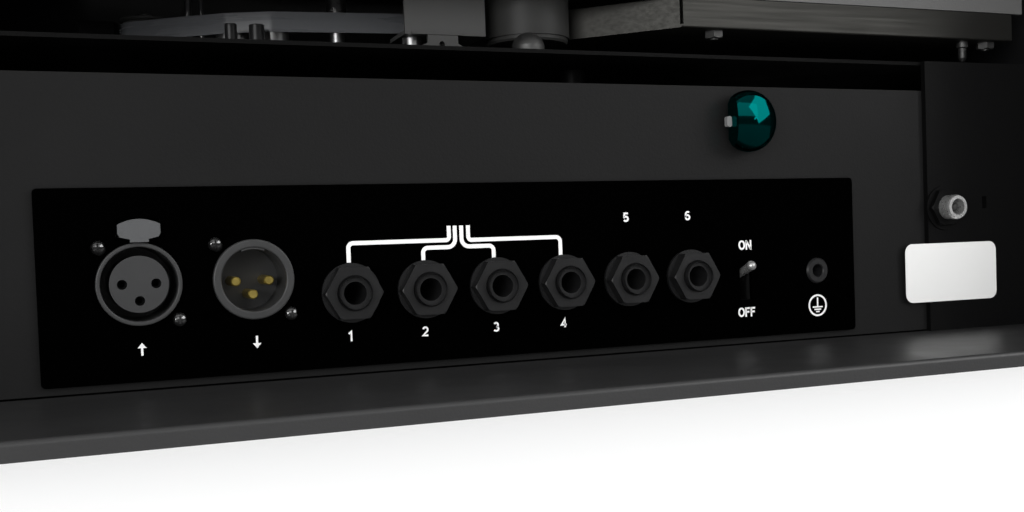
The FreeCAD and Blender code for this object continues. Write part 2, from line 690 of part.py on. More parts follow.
def jack_board():
    """Upright board that the jacks and the two connectors are soldered to."""
    back = SOCKET_BACK_Y
    board = box((-140, 125), (back - 1.6, back), (12, 62))
    chips = [box((x, x + 10), (back - 4, back - 1.6), (24, 30)) for x in range(-130, 100, 34)]
    return [board] + chips


# ---------------------------------------------------------------- tape deck
def deck_plate():
    plate = box((-PANEL_END, PANEL_END), (DECK_FRONT_Y, REAR_FACE_Y), (DECK_LOW, DECK_TOP))
    reach = (DECK_LOW - 1, DECK_TOP + 1)
    holes = [post(CAPSTAN_X, CAPSTAN_Y, reach[0], reach[1], 7.1),
             post(MOTOR_X, CAPSTAN_Y, reach[0], reach[1], 6.0)]
    return cut(plate, *holes)


def deck_pillars():
    """Black posts: under the deck, between deck and tray, and two stops beside the tape."""
    pieces = [post(x, y, FLOOR_TOP, DECK_LOW, 4) for x in (-200, -40, 200) for y in (71, -94)]
    pieces += [post(x, y, DECK_TOP, TRAY_LOW, 3) for x, y in tray_posts()]
    pieces += [post(x, 62.0, DECK_TOP, 110.4, radius) for x, radius in ((70.8, 1.8), (62.9, 2.3))]
    return Part.makeCompound(pieces)


def tray_outline():
    return [(TRAY_LEFT_X, TRAY_FRONT_Y), (TRAY_RIGHT_X, TRAY_FRONT_Y),
            (TRAY_RIGHT_X, REAR_FACE_Y - TRAY_BEVEL), (TRAY_RIGHT_X - TRAY_BEVEL, REAR_FACE_Y),
            (TRAY_LEFT_X, REAR_FACE_Y)]


def tape_tray():
    """Folded tray: floor, upturned rims with open corner seams, gaps where the tape passes."""
    tray = prism(tray_outline(), TRAY_LOW, TRAY_LOW + TRAY_SHEET)
    seam = TRAY_SEAM / 2
    bevel_x = TRAY_RIGHT_X - TRAY_BEVEL
    height = (TRAY_LOW, TRAY_TOP)
    rims = [
        box((TRAY_LEFT_X, bevel_x - seam), (REAR_FACE_Y - TRAY_SHEET, REAR_FACE_Y), height),
        box((TRAY_LEFT_X, TRAY_LEFT_X + TRAY_SHEET), (TRAY_FRONT_Y, REAR_FACE_Y), height),
        box((TRAY_LEFT_X, TRAY_RIGHT_X), (TRAY_FRONT_Y, TRAY_FRONT_Y + TRAY_SHEET), height),
        box((TRAY_RIGHT_X - TRAY_SHEET, TRAY_RIGHT_X), (-60, 48), height),
    ]
    length = TRAY_BEVEL * math.sqrt(2)
    bevel = box((seam, length), (-TRAY_SHEET, 0), height)
    bevel.rotate(Vector(0, 0, 0), Vector(0, 0, 1), -45)
    bevel.translate(Vector(bevel_x, REAR_FACE_Y, 0))
    tray = fuse(tray, bevel, *rims)

    def lower_rear_bend(edge):
        centre = edge.CenterOfMass
        on_bend = abs(centre.y - REAR_FACE_Y) < 0.01 and abs(centre.z - TRAY_LOW) < 0.01
        return on_bend and runs_along(edge, Vector(1, 0, 0))

    return round_edges(tray, 0.6, lower_rear_bend)


def tray_posts():
    """Places of the posts between the deck and the tray."""
    return [(-190.0, -84.0), (-60.0, -84.0), (-190.0, 40.0), (-70.0, 40.0)]


def tray_nuts():
    """Hex nuts on stud ends and a split rivet under the tray, a dome nut at the deck's edge."""
    pieces = []
    for x in (-78.65, -193.0):
        nut = hex_prism(5.5, 0, 2.4).common(lathe([(0, 0), (2.75, 0), (3.2, 0.4), (3.2, 2.4),
                                                   (0, 2.4)]))
        stud = post(0, 0, -0.4, 1, 1.4)
        pieces.append(at(fuse(nut, stud), x, REAR_FACE_Y - 4.6, TRAY_LOW - 2.4))
    rivet = lathe([(0, 0), (0.7, 0), (1.4, 1.2), (1.4, 4.6), (2.0, 5.0), (2.0, 7.0), (0, 7.0)])
    rivet = cut(rivet, box((-0.25, 0.25), (-2, 2), (-1, 3.6)))
    pieces.append(at(rivet, -182.3, REAR_FACE_Y - 4.6, TRAY_LOW - 7.0))
    pieces.append(at(lathe([(0, 0), (4.95, 0)] + crown(4.95, 1.6, 5.8)),
                     -13.0, REAR_FACE_Y - 5, DECK_TOP))
    return Part.makeCompound(pieces)


def tape_route():
    """Corners of the closed tape loop, each with its bend radius, in tape order."""
    big = CORNER_R + TAPE_GAP + TAPE_THICK / 2
    return TAPE_BENDS + [
        (TAPE_SIDE_X, TAPE_CORNER_Y, big),
        (TAPE_SIDE_X, TAPE_FRONT_Y, big),
        (-178.0, TAPE_FRONT_Y, 7),
        (-184.0, -48.0, 9),
        (-62.0, -44.0, 8),
        (-56.0, -24.0, 8),
        (-170.0, -20.0, 9),
        (-186.0, 4.0, 8),
        (-70.0, 6.0, 9),
        (-58.0, 30.0, 9),
        (-160.0, 26.0, 12),
        (-190.0, 44.0, 8),
        (-182.0, TAPE_REAR_Y, 7),
    ]


def rounded_loop(corners, z):
    """Closed wire through corners, with a tangent arc at each."""
    count = len(corners)
    stations = []
    for n in range(count):
        point = Vector(corners[n][0], corners[n][1], z)
        before = Vector(corners[n - 1][0], corners[n - 1][1], z)
        after = Vector(corners[(n + 1) % count][0], corners[(n + 1) % count][1], z)
        way_in = (point - before).normalize()
        way_out = (after - point).normalize()
        turn = way_in.getAngle(way_out)
        back = corners[n][2] * math.tan(turn / 2)
        start = point - way_in * back
        end = point + way_out * back
        inward = (way_out - way_in).normalize()
        centre = point + inward * (corners[n][2] / math.cos(turn / 2))
        middle = centre - inward * corners[n][2]
        stations.append((start, middle, end))
    edges = []
    for n in range(count):
        start, middle, end = stations[n]
        edges.append(Part.Arc(start, middle, end).toShape())
        edges.append(Part.LineSegment(end, stations[(n + 1) % count][0]).toShape())
    return Part.Wire(edges)


def tape_loop():
    path = rounded_loop(tape_route(), TAPE_LOW)
    outer = path.makeOffset2D(TAPE_THICK / 2)
    inner = path.makeOffset2D(-TAPE_THICK / 2)
    band = Part.makeFace([outer, inner], "Part::FaceMakerBullseye")
    return band.extrude(Vector(0, 0, TAPE_WIDTH))


def head_shield():
    """Screening can round the record heads, open to the tape and at its end, on a footed bracket."""
    x, y, z = (-3.4, 22.6), (66.6, 86.6), (104.7, 128.0)
    can = box(x, y, z)
    inside = box((x[0] + 1, x[1] + 1), (y[0] - 1, y[1] - 1), (z[0] - 1, z[1] - 1))
    can = cut(can, inside)
    foot = slab_y([(3.6, DECK_TOP), (18.0, DECK_TOP), (18.0, 101.1), (15.4, 102.2), (15.4, z[0]),
                   (5.7, z[0]), (5.7, 102.2), (3.6, 101.1)], y[1] - 1.2, y[1])
    foot = cut(foot, rod_y(10.9, 101.9, y[1] - 2, y[1] + 1, 0.9))
    lip = box((4.2, 20.5), (y[1] - 1.2, y[1] + 0.4), (z[0], z[0] + 0.8))
    floor = box((x[0] + 1, x[1]), (70, y[1] - 1), (z[0], z[0] + 1.2))
    leg = box((5.7, 15.4), (70, 72), (DECK_TOP, z[0]))
    return fuse(can, foot, lip, floor, leg)


def head_shape(width, depth):
    """Tape head with a rounded face towards -Y, whose foremost line is at the origin."""
    half = width / 2
    sag = 1.6
    arc = Part.Arc(Vector(half, sag, 0), Vector(0, 0, 0), Vector(-half, sag, 0)).toShape()
    sides = Part.makePolygon([Vector(-half, sag, 0), Vector(-half, depth, 0),
                              Vector(half, depth, 0), Vector(half, sag, 0)])
    face = Part.Face(Part.Wire([arc] + sides.Edges))
    return face.extrude(Vector(0, 0, 13))


def playback_places():
    return [18.5 - 13.0 * n for n in range(4)]


def tape_heads():
    """Two heads in the screening can and four playback heads beside the tape."""
    touch = TAPE_THICK / 2 + 0.1
    heads = [at(head_shape(8.4, 11.0), x, TAPE_REAR_Y + touch, 105.9) for x in (2.3, 10.9)]
    for y in playback_places():
        head = head_shape(11.0, 12.5)
        head.rotate(Vector(0, 0, 0), Vector(0, 0, 1), -90)
        heads.append(at(head, TAPE_SIDE_X + touch, y, 104.4))
    return Part.makeCompound(heads)


def head_bridge():
    """Slotted bar that carries the four playback heads."""
    bridge = box((103.0, 119.0), (-29, 27), (DECK_TOP, 104.4))
    slots = [box((114.5, 117.5), (y - 4, y + 4), (DECK_TOP - 1, 105)) for y in playback_places()]
    return cut(bridge, *slots)


def idler_drum():
    """Drum with a set-back lower rim and a capped top."""
    low, top = 104.0, 127.0
    rim = DRUM_R - 0.6
    outline = [(3.0 + RUNNING, low), (rim - 0.6, low), (rim, low + 0.6), (rim, low + 1.7),
               (DRUM_R, low + 1.7), (DRUM_R, top - 0.8), (DRUM_R - 0.8, top), (6, top),
               (6, top + 1.3), (3.0 + RUNNING, top + 1.3)]
    return at(lathe(outline), DRUM_X, DRUM_Y, 0)


def corner_roller(y):
    """Roller whose small flanges pass above and below the tape."""
    rim = CORNER_R + 0.8
    roller = lathe([(2 + RUNNING, 0), (rim, 0), (rim, 2.6), (CORNER_R, 3.2), (CORNER_R, 11.2),
                    (rim, 11.6), (rim, 12.4), (2 + RUNNING, 12.4)])
    return at(roller, CORNER_X, y, 105.2)


def guide_posts():
    """Fixed posts on the deck: roller spindles, tape guides and pins, the arm's pivot."""
    pieces = [at(lathe([(0, 0), (5, 0), (5, 5.3), (3, 5.3), (3, 31), (0, 31)]),
                 DRUM_X, DRUM_Y, DECK_TOP)]
    for y in (CORNER_REAR_Y, CORNER_FRONT_Y):
        axle = lathe([(0, 0), (4, 0), (4, 6.4), (2, 6.4), (2, 21), (0, 21)])
        pieces.append(at(axle, CORNER_X, y, DECK_TOP))
    pieces += [post(x, y, DECK_TOP, 115.4, BEND_POST_R) for x, y in BEND_POSTS]
    pieces.append(post(81.3, 43.3, DECK_TOP, 129, 1.1))
    pieces.append(post(77.5, 45.8, DECK_TOP, 126, 0.65))
    pieces.append(post(18.4, 79.5, DECK_TOP, 104.7, 3.0))
    guide = lathe([(0, 0), (3.4, 0), (3.4, 2), (2.3, 3), (2.3, 17.8), (3.25, 17.8), (3.25, 28),
                   (0, 28)])
    pieces.append(at(guide, 36.6, 57.3, DECK_TOP))
    pieces.append(at(lathe([(0, 0), (4, 0), (4, 2), (2.5, 2), (2.5, 11), (0, 11)]),
                     PINCH_PIVOT[0], PINCH_PIVOT[1], DECK_TOP))
    pieces.append(post(SPRING_POST_X, PINCH_PIVOT[1] - PINCH_TAIL, DECK_TOP, 108, 1.5))
    return Part.makeCompound(pieces)


def capstan_bearing():
    bearing = lathe([(CAPSTAN_R + RUNNING, -5), (6.9, -5), (6.9, 0), (9, 0), (9, 2), (6, 2.4),
                     (6, 5), (CAPSTAN_R + RUNNING, 5)])
    return at(bearing, CAPSTAN_X, CAPSTAN_Y, DECK_TOP)


def capstan_shaft():
    return at(lathe([(0, 0), (CAPSTAN_R, 0), (CAPSTAN_R, 38.6), (CAPSTAN_R - 0.6, 39.2),
                     (0, 39.2)]), CAPSTAN_X, CAPSTAN_Y, 79.6)


def flywheel():
    """Heavy rim, thin web and hub on the capstan shaft, with a crowned belt face."""
    wheel = lathe([(CAPSTAN_R, 0), (9, 0), (9, 3), (FLYWHEEL_R - 9, 3), (FLYWHEEL_R - 9, 0),
                   (FLYWHEEL_R - 0.4, 0), (FLYWHEEL_R, 5, "arc"), (FLYWHEEL_R - 0.4, 10),
                   (FLYWHEEL_R - 9, 10), (FLYWHEEL_R - 9, 6), (9, 6), (9, 9), (CAPSTAN_R, 9)])
    return at(wheel, CAPSTAN_X, CAPSTAN_Y, BELT_Z - 5)


def drive_motor():
    can = lathe([(1.5 + RUNNING, 1.5), (19, 1.5), (19, 40), (17.5, 41.5), (6, 41.5), (6, 44),
                 (0, 44), (0, 12), (1.5 + RUNNING, 12)])
    flange = cut(box((-21, 21), (-21, 21), (0, 1.5)), post(0, 0, -1, 3, 4))
    flange = round_edges(flange, 4, lambda edge: runs_along(edge, Vector(0, 0, 1))
                         and edge.CenterOfMass.Length > 20)
    return at(fuse(can, flange), MOTOR_X, CAPSTAN_Y, DECK_TOP)


def motor_pulley():
    """Motor shaft with its flanged pulley below the deck."""
    return at(lathe([(0, 0), (PULLEY_R + 1.5, 0), (PULLEY_R + 1.5, 1.5), (PULLEY_R, 2),
                     (PULLEY_R, 8), (PULLEY_R + 1.5, 8.5), (PULLEY_R + 1.5, 10), (1.5, 10),
                     (1.5, 27), (0, 27)]), MOTOR_X, CAPSTAN_Y, BELT_Z - 5)


def drive_belt():
    """Flat belt round the flywheel and the motor pulley."""
    gap = 0.4
    thick = 0.8
    span = MOTOR_X - CAPSTAN_X
    big, small = FLYWHEEL_R + gap, PULLEY_R + gap
    lean = math.acos((big - small) / span)

    def band(extra):
        def rim(radius, centre, angle):
            return Vector(centre + (radius + extra) * math.cos(angle),
                          CAPSTAN_Y + (radius + extra) * math.sin(angle), BELT_Z - 2.5)
        top_a, top_b = rim(big, CAPSTAN_X, lean), rim(small, MOTOR_X, lean)
        low_a, low_b = rim(big, CAPSTAN_X, -lean), rim(small, MOTOR_X, -lean)
        edges = [Part.LineSegment(top_a, top_b).toShape(),
                 Part.Arc(top_b, rim(small, MOTOR_X, 0), low_b).toShape(),
                 Part.LineSegment(low_b, low_a).toShape(),
                 Part.Arc(low_a, rim(big, CAPSTAN_X, math.pi), top_a).toShape()]
        return Part.Face(Part.Wire(edges)).extrude(Vector(0, 0, 5))

    return cut(band(thick), band(0))


def pinch_arm():
    """Arm from its pivot to the roller, with the roller's axle and the spring's hook."""
    px, py = PINCH_PIVOT
    low, high = 101.0, 104.0
    way = Vector(PINCH_X - px, CAPSTAN_Y - py, 0)
    side = Vector(-way.y, way.x, 0).normalize() * 4
    bar = prism([(px + side.x, py + side.y), (px - side.x, py - side.y),
                 (PINCH_X - side.x, CAPSTAN_Y - side.y), (PINCH_X + side.x, CAPSTAN_Y + side.y)],
                low, high)
    tail = box((px - 3, px + 3), (py - PINCH_TAIL - 3, py), (low, high))
    arm = fuse(bar, tail, post(px, py, low, high + 3, 5.5), post(PINCH_X, CAPSTAN_Y, low, high, 4),
               post(PINCH_X, CAPSTAN_Y, high, 118.5, 2),
               post(px, py - PINCH_TAIL, high, high + 4, 1.2))
    return cut(arm, post(px, py, low - 1, high + 5, 2.5 + RUNNING))


def pinch_roller():
    """Rubber roller with a free bore."""
    roller = lathe([(2 + RUNNING, 0), (4, 0), (4, 1), (PINCH_R - 0.6, 1), (PINCH_R, 1.6),
                    (PINCH_R, 11.4), (PINCH_R - 0.6, 12), (4, 12), (4, 13), (2 + RUNNING, 13)])
    return at(roller, PINCH_X, CAPSTAN_Y, 104.6)


def pinch_spring():
    """Helical extension spring from the arm's hook to a deck post."""
    y = PINCH_PIVOT[1] - PINCH_TAIL
    start = Vector(PINCH_PIVOT[0] + 1.6, y, 105.5)
    end = Vector(SPRING_POST_X - 1.6, y, 105.5)
    way = end - start
    coil, wire, turns = 2.0, 0.45, 7
    helix = Part.makeHelix((way.Length - 5) / turns, way.Length - 5, coil)
    ring = Part.makePolygon([Vector(coil + wire * math.cos(math.radians(60 * n)), 0,
                                    wire * math.sin(math.radians(60 * n))) for n in range(7)])
    body = Part.Wire(helix.Edges).makePipeShell([ring], True, True)
    turnings = FreeCAD.Rotation(Vector(0, 0, 1), way)
    body.Placement = FreeCAD.Placement(start + way.normalize() * 2.5, turnings)
    return body


def spring_tank():
    """Closed steel pan of the spring reverb, on two feet."""
    tank = box((-190, 70), (-86, -26), (8.4, 40))
    tank = round_edges(tank, 4, lambda edge: runs_along(edge, Vector(0, 0, 1)))
    lip = box((-195, 75), (-88, -24), (8.4, 9.6))
    feet = [post(x, -56, FLOOR_TOP, 8.4, 6) for x in (-150, 30)]
    return fuse(tank, lip, *feet)


def main_board():
    """Main circuit board with its tall components, on four spacers."""
    board = box((-150, 150), (-16, 64), (12, 13.6))
    tall = [post(x, y, 13.6, 26, 5) for x in (90, 104, 118) for y in (10, 26)]
    chips = [box((x, x + 19), (y, y + 7), (13.6, 17)) for x in (-120, -80, -40, 0, 40)
             for y in (4, 34)]
    spacers = [post(x, y, FLOOR_TOP, 12, 3) for x in (-144, 144) for y in (-10, 58)]
    return [board] + tall + chips + spacers


def circuit_boards():
    return Part.makeCompound(main_board() + jack_board())


# ---------------------------------------------------------------- front controls
def meter_case():
    """Level meter body with a window recess, dial plate and needle pivot."""
    wide, tall = METER_SIZE[0] / 2, METER_SIZE[1] / 2
    front = FRONT_FACE_Y - 3.0
    frame = box((METER_X - wide, METER_X + wide), (front, FRONT_FACE_Y),
                (METER_Z - tall, METER_Z + tall))
    frame = round_edges(frame, 1.2, lambda edge: abs(edge.CenterOfMass.y - front) < 0.1)
    back = box((METER_X - wide + 1.5, METER_X + wide - 1.5), (FRONT_FACE_Y, FRONT_FACE_Y + 18),
               (METER_Z - tall + 1.5, METER_Z + tall - 1.5))
    window = box((METER_X - wide + 4, METER_X + wide - 4), (front - 1, front + 11),
                 (METER_Z - tall + 4, METER_Z + tall - 4))
    rebate = box((METER_X - wide + 3, METER_X + wide - 3), (front - 1, front + 1.5),
                 (METER_Z - tall + 3, METER_Z + tall - 3))
    pivot = rod_y(METER_X, NEEDLE_Z, front + 5, front + 12, 1.0)
    return fuse(cut(fuse(frame, back), window, rebate), pivot)


def meter_lens():
    wide, tall = METER_SIZE[0] / 2 - 3.05, METER_SIZE[1] / 2 - 3.05
    front = FRONT_FACE_Y - 2.8
    return box((METER_X - wide, METER_X + wide), (front, front + 1.3),
               (METER_Z - tall, METER_Z + tall))


def meter_needle():
    """Pointer on its pivot, leaning left at rest."""
    start = FRONT_FACE_Y + 4.0
    hub = rod_y(METER_X, NEEDLE_Z, start - 0.4, start + 2.0, 2.4)
    pointer = slab_y([(-0.5, 0), (0.5, 0), (0.25, NEEDLE_LENGTH), (-0.25, NEEDLE_LENGTH)],
                     start, start + 0.6)
    pointer.rotate(Vector(0, 0, 0), Vector(0, 1, 0), -45)
    pointer.translate(Vector(METER_X, 0, NEEDLE_Z))
    bore = rod_y(METER_X, NEEDLE_Z, start - 1, start + 3, 1.0 + RUNNING)
    return cut(fuse(hub, pointer), bore)


def power_switch_body():
    body = box((POWER_X - 7, POWER_X + 7), (FRONT_INNER_Y, FRONT_INNER_Y + 15),
               (POWER_Z - 9, POWER_Z + 9))
    bush = rod_y(POWER_X, POWER_Z, FRONT_FACE_Y - 5, FRONT_INNER_Y + 1, 5.8)
    nut = forward(cut(hex_prism(14, 0, 2.4), post(0, 0, -1, 4, 5)), POWER_X, FRONT_FACE_Y,
                  POWER_Z)
    bore = rod_y(POWER_X, POWER_Z, FRONT_FACE_Y - 6, FRONT_INNER_Y + 6, 3.6)
    pin = rod_x(POWER_PIVOT_Y, POWER_Z, POWER_X - 4.5, POWER_X + 4.5, LEVER_PIN_R)
    return fuse(cut(fuse(body, bush, nut), bore), pin)


def switch_bodies():
    return Part.makeCompound([stop_switch_body(), power_switch_body()])


def power_switch_lever():
    bat = lathe([(0, -2), (1.5, -2), (1.5, 4)] + crown(2.6, 15.6, 17.4))
    bat.rotate(Vector(0, 0, 0), Vector(1, 0, 0), 90 + TOGGLE_TILT)
    bat.translate(Vector(POWER_X, POWER_PIVOT_Y, POWER_Z))
    return lever_on_pin(bat, POWER_X, POWER_PIVOT_Y, POWER_Z, 2.8)


# ---------------------------------------------------------------- all nodes
NODES = {
    "floor_pan": floor_pan,
    "side_wall_right": lambda: side_wall(1),
    "side_wall_left": lambda: side_wall(-1),
    "front_panel": front_panel,
    "top_cover": top_cover,
    "tape_lid": tape_lid,
    "lid_hinge": lid_hinge,
    "rear_panel": rear_panel,
    "power_panel": power_panel,
    "jack_plate": jack_plate,
    "input_shell": input_shell,
    "input_insert": input_insert,
    "input_latch": input_latch,
    "output_shell": output_shell,
    "output_pins": output_pins,
    "connector_screws": connector_screws,
    "jack_bodies": jack_bodies,
    "jack_nuts": jack_nuts,
    "stop_switch_lever": stop_switch_lever,
    "earth_socket": earth_socket,
    "power_inlet": power_inlet,
    "power_inlet_nut": power_inlet_nut,
    "rear_knob": rear_knob,
    "deck_plate": deck_plate,
    "deck_pillars": deck_pillars,
    "tape_tray": tape_tray,
    "tray_nuts": tray_nuts,
    "tape_loop": tape_loop,
    "head_shield": head_shield,
    "tape_heads": tape_heads,
    "head_bridge": head_bridge,
    "idler_drum": idler_drum,
    "corner_roller_rear": lambda: corner_roller(CORNER_REAR_Y),
    "corner_roller_front": lambda: corner_roller(CORNER_FRONT_Y),
    "guide_posts": guide_posts,
    "capstan_bearing": capstan_bearing,
    "capstan_shaft": capstan_shaft,
    "flywheel": flywheel,
    "drive_motor": drive_motor,
    "motor_pulley": motor_pulley,
    "drive_belt": drive_belt,
    "pinch_arm": pinch_arm,
    "pinch_roller": pinch_roller,
    "pinch_spring": pinch_spring,
    "spring_tank": spring_tank,
    "circuit_boards": circuit_boards,
    "potentiometers": potentiometers,
    "selector_knob": lambda: front_knob(SELECTOR_X, SELECTOR_Z, SELECTOR_R),
    "meter_case": meter_case,
    "meter_lens": meter_lens,
    "meter_needle": meter_needle,
    "switch_bodies": switch_bodies,
    "power_switch_lever": power_switch_lever,
}


def main():
    os.makedirs("parts", exist_ok=True)
    for name, make in NODES.items():
        make().exportStep("parts/" + name + ".step")
    for name, x, z, rim in CONTROL_KNOBS:
        front_knob(x, z, rim).exportStep("parts/" + name + ".step")


main()
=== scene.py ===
import bpy
import bmesh
import math
from mathutils import Matrix, Vector


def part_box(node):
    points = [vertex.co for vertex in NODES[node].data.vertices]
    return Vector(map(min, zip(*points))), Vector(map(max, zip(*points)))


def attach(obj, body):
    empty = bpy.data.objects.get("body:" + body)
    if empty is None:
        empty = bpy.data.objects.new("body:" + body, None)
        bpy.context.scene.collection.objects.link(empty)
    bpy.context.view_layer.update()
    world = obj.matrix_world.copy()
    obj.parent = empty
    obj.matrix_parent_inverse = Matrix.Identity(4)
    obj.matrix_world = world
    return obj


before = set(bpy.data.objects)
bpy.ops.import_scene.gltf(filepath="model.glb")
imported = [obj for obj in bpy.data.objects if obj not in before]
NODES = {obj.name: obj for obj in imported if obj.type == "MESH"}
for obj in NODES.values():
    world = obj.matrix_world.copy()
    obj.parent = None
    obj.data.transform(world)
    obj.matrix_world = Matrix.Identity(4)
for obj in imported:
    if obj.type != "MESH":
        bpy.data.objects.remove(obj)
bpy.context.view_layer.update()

MM = 0.001

# Local axes of flat work on the two faces: x to the reader's right, y up, z out of the face.
REAR_FACE = Matrix(((-1, 0, 0, 0), (0, 0, 1, 0), (0, 1, 0, 0), (0, 0, 0, 1)))
FRONT_FACE = Matrix(((1, 0, 0, 0), (0, 0, -1, 0), (0, 1, 0, 0), (0, 0, 0, 1)))

# ---------------------------------------------------------------- measures, millimetres
# Jacks, from the first, which is nearest to the connectors
JACK_PITCH = 22.0
JACK_X = [46.7 - JACK_PITCH * n for n in range(6)]
JACK_Z = 27.8
BUSH_R = 4.55
BUSH_OUT = 6.8
NUT_OUT = 5.0
# Three-pole connectors
AUDIO_Z = 32.8
INPUT_X = 103.4
OUTPUT_X = 73.4
# Contacts of the input, from its centre
CONTACTS = ((-4.3, 0.05), (4.3, 0.05), (0.0, -4.4))
CONTACT_DEPTH = 6.0
# Prints of the jack plate: heights of letters, and the heights above the floor of their middles
NUMBER_TALL = 2.95
LOW_NUMBER_Z = 15.55
HIGH_NUMBER_Z = 47.0
SWITCH_X = -84.2
SWITCH_WORD_TALL = 3.1
ON_Z = 36.97
OFF_Z = 15.15
ARROW_Z = 15.6
EARTH_SYMBOL = (-112.05, 15.9)
EARTH_RING_R = 3.37
# Routing lines: x of the top, height of the shelf, x and height of the foot, radii of the bends
ROUTE_TOP = 45.9
ROUTE_WIDTH = 1.2
ROUTES = (
    (16.95, 41.75, 46.95, 36.3, (1.0, 1.4)),
    (15.1, 39.7, 25.0, 35.9, (2.3, 1.4)),
    (13.1, 39.7, 3.2, 35.9, (2.3, 1.4)),
    (11.0, 41.6, -18.5, 36.1, (1.0, 1.4)),
)
# Power section; the label's centre is as read from behind
INLET_X = -166.1
INLET_Z = 47.4
INLET_R = 4.18
INLET_THREAD_START = 4.1
LABEL_SIZE = (40.6, 20.4)
LABEL_CENTRE = (169.0, 24.8)
LABEL_CORNER = 3.0
LABEL_THICK = 0.15
# Thread crests: pitch, and where the tip and the far foot of a crest lie from its near foot
THREAD_PITCH = 0.6
CREST_TIP = 0.2
CREST_END = 0.4
# Sleeves on the short posts of the deck: x, y and radius
SLEEVES = ((70.8, 62.0, 1.88), (62.9, 62.0, 2.38))
SLEEVE_FOOT = 98.5
SLEEVE_TALL = 12.0
SLEEVE_CHAMFER = 0.3
# Index tab of the rear knob, its centre as read from behind
TAB_SIZE = (1.8, 3.4)
TAB_CENTRE = (77.8, 76.6)
TAB_CORNER = 0.7
TAB_OUT = 3.0
TAB_THICK = 1.6
REAR_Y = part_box("rear_panel")[1].y / MM
PLATE_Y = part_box("jack_plate")[1].y / MM
POWER_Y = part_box("power_panel")[1].y / MM
FRONT_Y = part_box("front_panel")[0].y / MM
PRINT_THICK = 0.06
# Front knobs: centre x, centre z and rim radius
FRONT_KNOBS = {
    "input": (-145.0, 44.0, 12.0),
    "bass": (-52.0, 128.0, 12.0),
    "treble": (4.0, 128.0, 12.0),
    "reverb": (60.0, 128.0, 12.0),
    "rate": (-52.0, 50.0, 15.0),
    "intensity": (4.0, 50.0, 15.0),
    "echo": (60.0, 50.0, 15.0),
}
SELECTOR = (150.0, 86.0, 22.0)
METER = (-145.0, 118.0)
METER_SIZE = (70.0, 50.0)
METER_RIM = 4.2
METER_PLATE_OUT = 7.9
METER_PLATE_THICK = 0.6
METER_SCALE_R = 24.0
METER_TEXT_TALL = 2.4
NEEDLE_Z = METER[1] - 13.0
POWER_SWITCH = (-196.0, 44.0)
# Dials: angle from the first to the last number, and distances out from a knob's rim
DIAL_SWEEP = 300
TICK_START = 2.0
TICK_END = 4.2
TICK_WIDE = 0.4
DIAL_TEXT_OUT = 6.8
DIAL_TEXT_TALL = 2.3
# Power switch words and the border line of the front
POWER_WORD_TALL = 2.6
POWER_WORD_OUT = 14.0
BORDER_SIZE = (444.0, 165.0)
BORDER_CENTRE = (0.0, 88.5)
BORDER_CORNER = 5.0
BORDER_WIDE = 0.5
# Screws of the case
FRONT_SCREWS = [(x, z) for x in (-208, 208) for z in (22, 88, 155)]
FRONT_SCREWS += [(x, z) for x in (-70, 70) for z in (12, 165)]
COVER_SCREW_Y = (-120, 0, 120)
COVER_SCREW_Z = 161.5
PANEL_SCREWS = ((205.0, 80.0), (205.0, 14.0))

# ---------------------------------------------------------------- camera and lamps
CAMERA_PLACE = (0.1217, 0.41617, 0.0394)
CAMERA_YAW = 21.673
CAMERA_PITCH = 1.863
CAMERA_ROLL = 2.048
SENSOR_WIDE = 36.0
FOCAL_PIXELS = 1125.96
PICTURE_WIDE = 1024
CAMERA_SHIFT_Y = 0.02587
# Lamps: name, place, aim, size, power and turn about the lamp's own axis
LAMPS = (
    ("key", (-0.1, 1.9, 0.8), (0, 0.1, 0.07), (2.8, 0.7), 5, 0),
    ("side", (-1.18, 1.10, 0.64), (-0.085, 0.11, 0.077), (1.0, 0.8), 6.5, 25),
    ("low_left", (1.2, 1.5, 0.24), (0, 0.1, 0.1), (1.0, 0.3), 12, 0),
    ("front", (-0.6, -1.6, 1.2), (0, -0.1, 0.08), (1.4, 1.2), 12, 0),
)
# Strengths of the floor and the world, as other rays, camera rays and glossy rays see them
FLOOR_REACH = 6.0
FLOOR_TONE = 0.8
FLOOR_TONE_IN_GLOSS = 0.06
FLOOR_GLOW = (0.5, 0.2, 0.08)
WORLD_LEVEL = 1.2
WORLD_BEHIND = 1.0
WORLD_IN_GLOSS = (0.06, 0.5)


